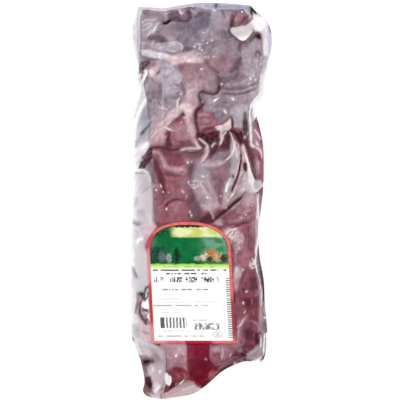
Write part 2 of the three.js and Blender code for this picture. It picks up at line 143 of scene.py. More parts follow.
# Fields of colour of the meat, from broad to small: shade, outline, softness of its edge, strength.
# An outline or a route is a row of numbers, across, down, across, down, in photograph pixels.
FLESH_FIELDS = (
    ("mauve", (128, -9, 276, -9, 276, 82, 240, 100, 196, 104, 150, 124, 120, 130), 6, 1),
    # Upper end, left
    ("lilac", (134, 4, 139, 4, 140.6, 22, 140.2, 60, 138, 70, 130, 70), 1, 0.8),
    ("mauve", (138, 8, 168, 8, 168, 23, 152, 34, 146, 41, 138, 44), 2, 0.9),
    ("lilac", (164.6, 9, 167.2, 9, 167.2, 16, 168.6, 20, 166.6, 21.4, 164.8, 18), 1.2, 0.75),
    ("plum", (168.2, 12, 172, 9.6, 179, 9.2, 181, 11, 180.4, 16, 184, 20, 178, 21.6, 171, 21.4, 168, 19),
     1.1, 1), ("dark mauve", (171, 17, 178, 16, 182, 19, 178, 21, 172, 21), 1.4, 0.6),
    ("plum", (183, 14, 186, 10, 188, 6, 191, 7, 191.4, 14, 191, 20, 187, 22, 184, 20), 1.2, 1),
    ("mauve", (184.4, 14, 187, 13, 187.6, 18, 185.6, 20), 1.2, 0.5),
    ("pale mauve", (190, 8, 200, 5, 210, 8, 212, 12, 204, 16, 197, 17, 192, 14), 1.8, 0.7),
    ("pale mauve", (160, 26, 167, 26, 170, 31, 166, 34, 160, 33), 2, 0.5),
    ("grey mauve", (172, 24, 186, 21, 192, 17, 210, 15, 212, 28, 208, 50, 196, 53, 184, 52, 182, 44, 178, 36,
     174, 30), 3, 1),
    ("grey violet", (190, 18, 198, 17, 208, 18, 209, 26, 202, 32, 194, 34, 184, 28), 4, 0.9),
    ("plum", (148, 38, 153, 34.4, 160, 35.4, 167, 38, 168.4, 41, 165, 43, 162, 43.6, 159, 41.4, 153, 41, 149,
     40), 1.2, 1), ("pale mauve", (163, 34, 169, 35, 176, 39, 178, 43, 170, 42, 165, 38), 1.4, 0.9),
    ("lilac", (140, 42, 150, 42, 160, 44, 166, 44, 166, 52, 152, 50, 140, 49), 2, 0.8),
    ("pale mauve", (140, 44, 150, 44, 150, 48, 141, 48), 1.4, 0.7),
    ("pale mauve", (166, 46, 170, 43.4, 179, 43.4, 183, 47, 180, 51, 170, 52, 166, 50), 1.2, 0.9),
    ("plum", (183, 47, 190, 47, 193, 49, 192, 53, 184, 54, 182, 52), 1.4, 0.9),
    ("pale", (141, 50, 150, 49.4, 158, 52.4, 168, 55, 171, 59, 162, 60, 150, 57.6, 142, 55), 1.3, 1),
    ("fat and highlight", (160, 56, 168, 57, 176, 57, 182, 59, 180, 64, 174, 66, 168, 62, 162, 59), 1.8, 0.7),
    ("blush", (172, 58, 178, 54, 186, 53, 194, 51, 203, 54, 204, 63, 194, 64, 184, 63, 178, 66, 172, 63),
     1.8, 1), ("fat and highlight", (178, 57, 188, 58, 200, 59, 202, 62, 190, 63, 180, 62), 1.6, 0.5),
    ("dusty rose", (190, 52, 198, 53, 204, 58, 200, 59, 192, 55), 1.6, 0.4),
    ("mauve", (142, 56, 150, 58, 158, 60, 150, 62, 142, 62), 1.4, 0.8),
    ("lilac", (153, 66, 156, 61, 162, 60, 172, 65, 180, 72, 183, 78, 180, 84, 174, 85, 165, 85, 157, 84, 152,
     80, 150, 75), 1.8, 1), ("dusty rose", (150, 63, 157, 61, 156, 66, 150, 70, 148, 68), 1.4, 0.7),
    ("blush", (148, 72, 152, 67, 158, 66, 158, 73, 153, 77, 148, 77), 1.4, 0.9),
    ("fat and highlight", (150, 69, 154, 69, 155, 72, 152, 75, 149, 74), 1.4, 0.5),
    ("dusty rose", (176.6, 66.4, 180, 63.6, 190, 63.8, 203, 65, 208, 72, 209, 82, 196, 84, 186, 84, 183, 76,
     181.6, 72, 177.6, 69.6), 1.3, 1), ("plum", (178, 66, 184, 65, 186, 68, 183, 71, 179, 69), 1.4, 0.7),
    ("wine", (138.4, 73.6, 139, 64, 141, 62, 148.4, 61.8, 151, 62.4, 147.4, 66, 142.6, 69.8), 0.8, 1),
    ("plum", (142.6, 63.2, 147, 63, 146.4, 65.4, 143.4, 66), 0.8, 0.7),
    # Upper end, right
    ("grey violet", (200, 12, 212, 10, 213, 30, 206, 34, 200, 34), 2, 0.9),
    ("dark mauve", (198, 12.6, 203, 12, 204, 16, 199, 18), 1.2, 0.8),
    ("pale mauve", (212, 10, 221, 10, 228, 20, 231, 28, 222, 31, 213, 30, 211, 20), 2, 0.95),
    ("lilac", (226, 13, 231, 11, 231, 22, 229, 26, 226, 20), 1.4, 0.5),
    ("purple red", (230.6, 28.6, 229.4, 26.6, 231, 22, 230, 17, 232, 13, 238, 10.6, 249, 11, 251, 17, 249.4,
     22, 244.4, 23, 242, 25, 238, 25.6, 234.4, 25.4), 1, 1),
    ("dusty rose", (233, 13, 239, 12, 244, 13, 243, 18, 239, 22, 235, 19), 1.6, 0.9),
    ("wine", (232, 21, 235, 20, 235, 25, 232, 27), 1.4, 0.65),
    ("dark red", (241, 23, 245, 16, 249, 13, 250, 18, 248, 23, 243, 25), 1.4, 0.75),
    ("grey mauve", (213, 31, 222, 30, 228, 31, 228, 35, 220, 37, 214, 35), 1.8, 0.9),
    ("mauve", (206, 40, 214, 36, 228, 36, 238, 42, 240, 50, 238, 58, 220, 60, 208, 56), 3, 0.9),
    ("dusty rose", (206, 59, 216, 57, 232, 57, 240, 60, 238, 67, 230, 73, 220, 73, 212, 70, 207, 65), 1.8,
     0.9), ("plum", (233, 60, 242, 58, 243, 67, 237, 72, 232, 68), 2, 0.85),
    ("pale mauve", (242, 43, 247, 44, 254, 38, 261, 36, 263, 57, 254, 60, 242, 58), 1.4, 1),
    ("dark mauve", (243, 42, 248, 38.6, 252, 34.6, 256, 32.8, 256, 37, 252.4, 41, 248, 44.6, 244, 44.6), 1.2,
     0.9), ("pale mauve", (243, 58, 262, 57, 272, 57, 268, 82, 250, 82, 243, 72), 2, 0.9),
    ("lilac", (248, 60, 257, 60, 258, 72, 252, 82, 247, 76), 2.4, 0.5),
    ("plum", (142, 9, 149, 9, 151, 11, 147, 14, 143, 13), 1.4, 0.6),
    ("fat and highlight", (170, 56, 180, 57, 190, 57, 200, 58, 200, 62, 186, 62, 174, 62), 1.8, 0.5),
    ("soft pink", (232, 18, 246, 20, 248, 26, 236, 28), 2, 0.4),
    ("pale mauve", (197, 30, 208, 28, 218, 30, 220, 38, 208, 42, 199, 38), 2.4, 0.6),
    ("dark mauve", (238, 41, 246, 41, 248, 48, 240, 50), 2, 0.5),
    # Shoulder above the crease, left
    ("pale mauve", (144, 78, 154, 79, 156, 88, 150, 92, 144, 90), 2, 0.8),
    ("grey mauve", (147, 92, 156, 90, 163, 90, 162, 98, 152, 102, 147, 99), 1.8, 0.8),
    ("lilac", (163, 84, 170, 84, 178, 86, 180, 91, 172, 92, 164, 93), 1.6, 0.7),
    ("grey mauve", (165, 99, 168, 94, 174, 92, 180, 92, 178, 98, 176, 103, 171, 106, 166, 105), 1.5, 1),
    ("plum", (176, 93, 180, 92.4, 179, 96, 176, 97), 1.2, 0.5),
    ("pale mauve", (150, 104, 164, 101, 170, 108, 168, 116, 156, 128, 150, 126), 3, 0.8),
    ("grey mauve", (149, 108, 155, 109, 153, 117, 149, 119), 1.8, 0.6),
    ("mauve", (183, 78, 198, 82, 196, 86, 189, 92, 186, 99, 182, 96, 185, 90, 182, 84), 2, 0.9),
    ("soft pink", (187, 91, 197, 86, 199, 98, 198, 108, 191, 106, 185, 101), 2, 0.9),
    ("blush", (187, 96, 191, 89, 196, 85, 204, 83, 206, 88, 200, 90, 198, 94, 193, 97), 1.8, 0.75),
    ("blush", (160, 126, 164, 120, 169, 112.6, 176, 107, 183, 103.4, 187, 102.4, 193, 105.4, 197, 107.6, 196,
     112, 188, 113, 186, 115, 183, 112.4, 180, 114.6, 177, 117.6, 172, 120), 1.3, 1),
    ("fat and highlight", (177, 109, 183, 105, 188, 105, 192, 108, 187, 111, 182, 110), 1.8, 0.7),
    ("blush", (148, 142, 149, 133, 156, 127, 164, 119, 172, 116, 171, 122, 165, 130, 158, 137, 152, 142), 2,
     0.9), ("soft pink", (150, 143, 157, 134, 166, 128, 169, 129, 167, 136, 158, 142), 2, 0.8),
    ("rose", (182, 112, 187, 117, 188, 128, 190, 137, 194, 144, 199, 150, 158, 149, 163, 140, 166, 131, 172,
     125, 178, 118), 1.6, 1),
    ("dark red", (180, 114, 183, 112, 186, 116, 182, 120, 178, 124, 174, 129, 172, 126), 1.4, 0.6),
    ("pink", (176, 132, 182, 125, 186, 127, 189, 137, 186, 142, 177, 140), 2.6, 0.6),
    ("raw red", (176, 141, 190, 142, 195, 149, 178, 149), 2, 0.4),
    ("dark red", (167, 131, 172, 129, 171, 136, 173, 146, 166, 147), 1.8, 0.8),
    ("soft pink", (185, 114, 189, 111.6, 195, 112, 195.6, 122, 197, 130, 199, 141, 200, 148, 196, 148, 191,
     137, 187, 127, 185, 119), 1.2, 1),
    ("blush", (187, 115, 190, 113, 191, 124, 193, 134, 190, 133, 188, 124), 1.4, 0.8),
    # Shoulder above the crease, right
    ("dusty rose", (198, 64, 208, 64, 214, 74, 218, 80, 216, 90, 204, 90, 198, 82), 3, 0.8),
    ("pale mauve", (203, 74, 213, 76, 216, 86, 208, 90, 202, 86), 2.4, 0.6),
    ("plum", (215, 74, 221, 77, 232, 76, 240, 70, 236, 80, 226, 84, 221, 90, 216, 90, 218, 82), 1.8, 0.9),
    ("mauve", (222, 90, 227, 84, 236, 80, 246, 76, 260, 78, 262, 82, 250, 90, 240, 98, 222, 97), 2, 0.9),
    ("pale mauve", (226, 85, 236, 81, 247, 79, 244, 84, 230, 88), 1.6, 0.7),
    ("pale mauve", (240, 95, 252, 91, 262, 86, 262, 92, 254, 106, 249, 106, 244, 98), 1.8, 0.8),
    ("lilac", (250, 92, 262, 86, 266, 88, 262, 94, 254, 106, 249, 106), 1.6, 0.6),
    ("mauve", (204, 96, 222, 96, 240, 97, 248, 100, 248, 106, 232, 112, 228, 118, 214, 112, 204, 110, 202,
     104), 2, 1), ("pale mauve", (207, 98, 219, 97, 220, 102, 210, 106, 206, 104), 1.6, 0.8),
    ("grey mauve", (221, 102, 236, 102, 236, 106, 224, 105), 1.4, 0.8),
    ("pale mauve", (226, 96, 236, 97, 236, 101, 229, 101), 1.4, 0.7),
    ("pale mauve", (203, 106, 212, 107, 214, 111, 204, 112), 1.4, 0.7),
    ("grey mauve", (213, 111, 222, 111, 228, 116, 224, 122, 218, 123, 215, 118), 1.6, 0.9),
    ("lilac", (231, 108, 240, 104, 250, 104, 249, 112, 244, 110, 243, 118, 243, 127, 234, 127, 233, 117, 229,
     114), 1.5, 0.9), ("pale mauve", (233, 116, 242, 118, 242, 127, 234, 127), 1.6, 0.7),
    ("rose", (198, 113, 205, 111.6, 213, 113, 216, 119, 219, 124, 214.6, 127, 213, 134, 204, 136, 198, 130,
     197, 120), 1.3, 1), ("soft pink", (199, 114, 205, 112, 209, 115, 206, 119, 200, 117), 1.4, 0.8),
    ("pink", (200, 120, 207, 118.6, 211, 121, 206, 124, 200, 123.6), 1.3, 0.7),
    ("dull red", (205, 127, 214, 125, 214, 133, 207, 136, 202, 131), 1.5, 0.8),
    ("fat and highlight", (214.4, 127, 218, 125.4, 223, 124.6, 227, 121.4, 230.2, 117.4, 231.8, 120, 231.4, 127, 229,
     130.6, 225, 131.8, 222.4, 137, 220.4, 140, 219.6, 135, 220.6, 130.6, 217, 130), 0.9, 1),
    ("wine", (243.6, 111.4, 246.2, 111.8, 247.6, 121, 247.8, 132, 246.4, 141, 242, 141, 243.4, 128, 243,
     118), 0.8, 1), ("dull red", (233, 128, 242, 129, 242, 140, 238, 139), 1.4, 0.9),
    # Wine and black over the recess under the red lump: its painted shade
    ("wine", (197, 131, 205, 133.6, 213, 131, 217, 130, 220, 133, 219, 141, 216, 149, 210, 156, 205, 151,
     199, 144, 196, 137), 1.3, 1),
    ("black", (199, 136, 207, 137, 215, 135, 219, 137, 216, 147, 211, 153, 206, 147, 200, 143), 1.4, 0.6),
    ("blush", (186, 84, 196, 82, 199, 90, 198, 98, 190, 104, 186, 96), 2.2, 0.55),
    ("blush", (150, 112, 160, 118, 160, 124, 152, 132, 149, 124), 2, 0.5),
    ("soft pink", (148, 140, 160, 132, 168, 136, 164, 145, 152, 146), 1.8, 0.7),
    ("fat and highlight", (171, 113, 176, 107, 184, 103, 192, 104, 195, 109, 193, 117, 188, 117, 184, 111, 180, 112, 172,
     119), 1.8, 0.55),
    ("pink", (170, 125, 178, 122, 184, 124, 190, 130, 192, 138, 184, 140, 176, 136), 2.4, 0.35),
    ("dusty rose", (197, 114, 208, 114, 213, 119, 212, 128, 202, 129, 197, 124), 2, 0.35),
    ("soft pink", (196, 78, 206, 80, 208, 89, 198, 91), 2, 0.5),
    ("lilac", (236, 98, 250, 96, 250, 108, 248, 116, 240, 114), 2.4, 0.45),
    ("lilac", (246, 78, 258, 78, 258, 92, 248, 92), 2.4, 0.4),
    ("lilac", (166, 80, 178, 80, 180, 90, 168, 91), 2.4, 0.45),
    ("lilac", (167, 98, 176, 100, 178, 108, 168, 110), 2.4, 0.45),
    ("dark mauve", (199, 99, 207, 100, 206, 109, 199, 110), 1.8, 0.4),
    ("pale mauve", (231, 113, 242, 112, 242, 124, 233, 126), 2, 0.5),
    # Middle, left
    ("rose", (148, 150, 166, 150, 186, 150, 200, 152, 198, 222, 152, 222, 150, 190, 148, 165), 1.5, 0.5),
    ("dusty rose", (146, 165, 149, 159, 153, 157, 156, 168, 158, 178, 161, 188, 154, 188, 152, 178, 150,
     171), 1.3, 0.9),
    ("wine", (138.6, 168.6, 141, 162, 144, 159, 147.6, 157.4, 147, 152, 149, 148, 152.4, 147, 152.6, 157,
     150, 160.6, 147, 163.4, 143.6, 168), 0.8, 1),
    ("dull red", (166, 153, 180, 152, 186, 157, 185, 166, 176, 167, 168, 163), 2, 0.8),
    ("dark red", (154, 158, 158, 160, 161, 168, 164, 176, 166, 184, 168, 194, 163, 194, 159, 184, 156, 174,
     153, 166), 1.8, 0.9), ("wine", (160, 172, 164, 174, 166, 182, 164, 190, 161, 184), 1.8, 0.4),
    ("soft pink", (172, 166, 184, 166, 188, 170, 184, 175, 174, 173), 2.2, 0.6),
    ("rose", (168, 176, 184, 178, 190, 190, 188, 200, 170, 198, 166, 186), 2.5, 0.7),
    ("warm mauve", (184, 152, 200, 152, 203, 160, 198, 164, 190, 162, 185, 163), 1.8, 0.85),
    ("dusty rose", (182, 153, 190, 153, 188, 162, 184, 160), 1.6, 0.6),
    ("dark mauve", (187, 163.6, 191, 162.4, 195, 165, 196.4, 172, 194.4, 177, 190, 175.6, 187.4, 170), 1.3,
     0.85), ("grey mauve", (182, 178, 190, 178, 190, 188, 184, 190), 2, 0.5),
    ("dark mauve", (189, 188, 194, 188, 196, 194, 198, 202, 201, 210, 204, 222, 193, 222, 191, 214, 189, 204,
     188, 196), 2.4, 0.85),
    ("rose", (168, 204, 173, 201, 180, 200, 186, 203, 187, 212, 180, 217, 170, 214), 2, 0.6),
    ("pink", (173, 203, 180, 203, 180, 210, 175, 212), 2, 0.4),
    ("dusty rose", (154, 200, 160, 198, 162, 206, 158, 221, 155, 221), 1.6, 0.6),
    # Middle, right
    ("pale mauve", (198, 158, 212, 160, 236, 152, 242, 158, 238, 176, 226, 206, 204, 210, 196, 196, 192,
     180), 2.5, 1),
    ("warm mauve", (208, 168, 224, 164, 234, 163, 232, 176, 226, 188, 224, 204, 217, 198, 211, 184), 2.5,
     0.9), ("mauve", (224, 150, 234, 150, 238, 162, 232, 166, 226, 162), 2, 0.8),
    ("pale mauve", (226, 158, 234, 154, 238, 160, 232, 165), 1.6, 0.5),
    ("purple red", (214, 176, 222, 174, 226, 184, 226, 204, 220, 206, 214, 194), 2.2, 0.6),
    ("wine", (221, 148, 222, 137, 226, 132.4, 230.6, 134, 233, 141, 233, 148, 228, 150, 223, 150), 1.3,
     0.85),
    ("dark mauve", (208.6, 159, 212, 152, 218, 147.6, 224, 147.6, 230, 149.6, 227, 151, 218, 151.6, 213,
     157), 1.2, 0.9), ("mauve", (211, 160, 214, 154, 220, 151, 229, 151, 229, 156, 224, 160), 1.4, 0.9),
    ("wine", (209, 158, 212, 150.6, 217, 147, 215, 152), 0.9, 0.7),
    ("wine", (234.6, 134, 242, 130, 244, 142, 241.6, 144, 238, 140), 1, 1),
    ("black", (240, 133, 243, 133, 243, 141, 240.6, 140), 1, 0.6),
    ("blush", (197, 178, 201, 175, 206, 180, 211, 188, 216, 198, 220, 208, 213, 212, 205, 208, 199, 196),
     2.6, 0.35), ("blush", (200, 184, 205, 188, 210, 196, 215, 206, 212, 209, 206, 201, 201, 192), 2, 0.4),
    ("blush", (241, 146, 244.6, 144, 248, 158, 251, 166, 254, 177, 257, 183, 256, 192, 250, 190, 246, 190.6,
     236, 198, 228, 206, 225, 204, 231, 193, 236, 182, 239.6, 172, 242, 160), 1.3, 0.95),
    ("mauve", (238, 176, 243, 172, 243, 184, 236, 194, 231, 198, 230, 194, 235, 186), 1.6, 0.5),
    ("blush", (224, 194, 229, 193, 228, 200, 224, 206, 221, 209), 1.4, 0.7),
    ("wine", (199, 223, 201, 217, 205, 214, 209, 210, 211, 213, 213, 219, 209, 223), 1.6, 0.85),
    ("dusty rose", (214, 223, 222, 215, 232, 206, 243, 197, 252, 192, 258, 197, 259, 223), 1.4, 1),
    ("soft pink", (240, 202, 246, 197, 252, 194, 256, 197, 256, 202, 250, 205, 243, 206), 2.2, 0.9),
    ("rose", (246, 206, 256, 203, 257, 212, 246, 213), 2, 0.5),
    ("meat", (220, 218, 228, 211, 236, 208, 240, 212, 238, 221, 224, 222), 2, 0.8),
    ("rose", (240, 211, 256, 210, 257, 222, 238, 222), 2, 0.7),
    ("blush", (213, 223, 216, 219.6, 221, 218, 224, 221, 222, 224), 1.2, 0.8),
    ("dark mauve", (196, 186, 202, 188, 206, 196, 206, 204, 198, 202), 2, 0.3),
    ("pink", (228, 219, 240, 218, 241, 224, 230, 226), 1.6, 0.5),
    ("blush", (238, 190, 247, 186, 248, 192, 240, 198), 1.6, 0.5),
    ("dark mauve", (188, 160, 198, 160, 198, 170, 190, 170), 2.4, 0.3),
    ("dusty rose", (166, 178, 184, 180, 188, 192, 172, 194), 3, 0.25),
    # Right of the label
    ("meat", (222, 222, 258, 222, 258, 260, 264, 290, 264, 346, 236, 346), 3, 1),
    ("dusty rose", (250, 223, 258, 219, 258, 236, 253, 238, 250, 232), 1.4, 0.6),
    ("rose", (232, 224, 247, 226, 247, 250, 256, 252, 250, 264, 238, 268, 232, 264), 4, 0.8),
    ("blush", (221, 235, 223, 229, 229, 226, 236, 226, 240, 231, 243, 238, 241, 247, 236, 249, 232, 243, 228,
     237), 2.2, 0.75),
    ("fat and highlight", (225, 233, 229, 228, 235, 227, 238, 232, 238, 238, 233, 239, 229, 236), 2, 0.55),
    ("dusty rose", (232, 242, 243, 242, 242, 251, 234, 251), 2, 0.6),
    ("soft pink", (233, 264, 239, 264, 242, 270, 240, 278, 237, 290, 233, 288), 2.4, 0.8),
    ("fat and highlight", (235, 266, 239, 267, 239, 272, 236, 277, 234, 272), 1.6, 0.6),
    ("dull red", (246, 270, 257, 268, 260, 280, 258, 292, 250, 294, 243, 286), 3, 0.8),
    ("wine", (250, 277, 256, 275, 258, 284, 255, 291, 250, 288), 2.4, 0.6),
    ("wine", (242, 286.6, 244.6, 286, 244.6, 291.4, 242, 291.6), 0.9, 0.85),
    ("dusty rose", (255, 288, 262, 290, 263, 296, 258, 298), 1.8, 0.6),
    ("dark red", (242, 296, 258, 295, 262, 300, 260, 308, 252, 309, 243, 306), 2.4, 0.9),
    ("wine", (244, 298, 250, 296, 251, 306, 246, 307), 1.8, 0.6),
    ("dull red", (236, 306, 258, 308, 261, 326, 254, 330, 240, 332), 4, 0.6),
    ("dark red", (247, 309, 257, 308, 258, 319, 250, 321), 2, 0.7),
    ("dusty rose", (236, 319, 244, 313, 247, 314, 243, 324, 239, 345, 236, 345), 1.8, 0.8),
    ("wine", (245, 327, 250, 325, 254, 330, 254, 338, 248, 341, 244, 336), 2, 0.85),
    ("dull red", (240, 338, 254, 338, 255, 346, 240, 347), 2, 0.6),
    ("wine", (255, 330, 258.4, 331, 260.6, 341, 258, 346, 254.6, 343, 254.6, 336), 0.9, 0.95),
    ("wine", (231.4, 293, 235, 293, 235.6, 301, 232.8, 301), 0.9, 0.9),
    ("dark red", (232, 314, 236, 314, 236.6, 328, 234, 331), 1.2, 0.6),
    # Foot
    ("raw red", (160, 340, 190, 340, 192, 380, 170, 392, 150, 400, 160, 370), 2, 1),
    ("pink", (160, 340, 187, 341, 190, 352, 191, 362, 188, 369, 180, 366, 172, 365, 165, 369, 162, 352), 1.6,
     1), ("dusty rose", (180, 352, 190, 354, 190, 366, 182, 365, 176, 363, 176, 356), 2, 0.7),
    ("dusty rose", (165, 357, 173, 356, 174, 368, 165, 370), 1.8, 0.6),
    ("rose", (172, 360, 184, 361, 183, 366, 174, 366), 1.4, 0.6),
    ("blush", (174, 343, 186, 343, 188, 351, 178, 352), 2, 0.5),
    ("raw red", (172, 366, 180, 365, 188, 369, 190, 376, 184, 379, 174, 380, 171, 373), 1.4, 0.95),
    ("wine", (172.6, 366, 178, 364.6, 182, 367.4, 180, 371, 176, 370), 1, 0.6),
    ("juice", (186.6, 338, 212, 338, 210.4, 346, 209, 352, 210, 358, 214, 363.6, 222, 369, 221, 373, 206,
     387, 198, 383, 191, 379, 188.4, 366), 0.9, 1),
    ("raw red", (187, 343, 193, 343, 194, 354, 199, 360, 192, 370, 187, 366, 188, 356), 1.4, 0.9),
    ("crimson", (193, 343, 211, 343, 208, 352, 209, 360, 203, 358, 196, 357), 1.8, 0.75),
    ("dark juice", (191, 362, 196, 358, 203, 359, 208, 368, 206, 372, 197, 370, 192, 372), 2, 0.9),
    ("dark juice", (190, 373, 196, 371, 201, 375, 202, 383, 192, 380), 1.6, 0.85),
    ("rose", (209.6, 343, 246, 342, 246, 352, 232, 366, 222, 369, 214, 363, 209.4, 356), 1.2, 1),
    ("dusty rose", (212, 344, 236, 343, 236, 352, 226, 358, 213, 354), 2, 0.6),
    ("rose", (211, 352, 216, 350, 220, 354, 219, 364, 214, 361), 1.6, 0.7),
    ("soft pink", (211, 345, 218, 344, 221, 349, 216, 351, 211, 351), 1.6, 0.5),
    ("brown", (221, 353, 228, 352, 230, 358, 225, 363, 221, 360), 2, 0.3),
    ("brown", (226, 344, 236, 344, 236, 348, 228, 348), 1.4, 0.5),
    ("dark red", (236, 345, 246, 342, 258, 343, 254, 352, 246, 361, 238, 363, 231, 359, 233, 352), 1.6,
     0.95), ("wine", (233, 354, 238, 353, 246, 352, 247, 358, 240, 361, 233, 360), 1.4, 0.9),
    ("dusty rose", (236, 342, 241, 342, 243, 350, 238, 352), 1.4, 0.6),
    ("mauve", (247, 352, 254, 346, 262, 340, 263, 354, 254, 358, 246, 361), 1.6, 0.9),
    ("soft pink", (163, 397, 167, 391, 176, 386, 186, 379.6, 194, 381, 203, 386, 204, 390, 190, 396, 170,
     400), 1, 1), ("soft pink", (176, 386, 184, 381, 192, 382, 196, 388, 186, 392, 178, 391), 1.8, 0.6),
    ("wine", (169.4, 388.4, 169.6, 383, 172, 379.4, 175, 381, 177, 384, 173.6, 387.6), 0.8, 0.95),
    ("wine", (165.6, 391.4, 168, 389, 170.4, 390, 168.6, 392.6), 0.7, 0.8),
    ("juice", (189, 358, 204, 356, 209, 366, 213, 369, 205, 384, 196, 381, 190, 378), 1.6, 0.6),
    ("dark red", (172, 379, 178, 378, 183, 376, 184, 379, 177, 383), 1, 0.5),
    ("plum", (187, 143, 200, 143, 202, 150, 200, 158, 188, 157), 3, 0.35),
    ("dark red", (187, 213, 201, 214, 202, 222, 187, 225), 3, 0.35),
    ("dark red", (163, 179, 176, 179, 178, 186, 176, 194, 164, 193), 3, 0.35),
    ("dark mauve", (235, 35, 249, 35, 249, 48, 236, 49), 3, 0.35),
    ("crimson", (187, 347, 200, 346, 209, 358, 212, 368, 204, 374, 192, 372, 187, 362), 2, 0.45),
    ("dark red", (176, 144, 200, 144, 202, 151, 198, 158, 177, 157), 3, 0.35),
)
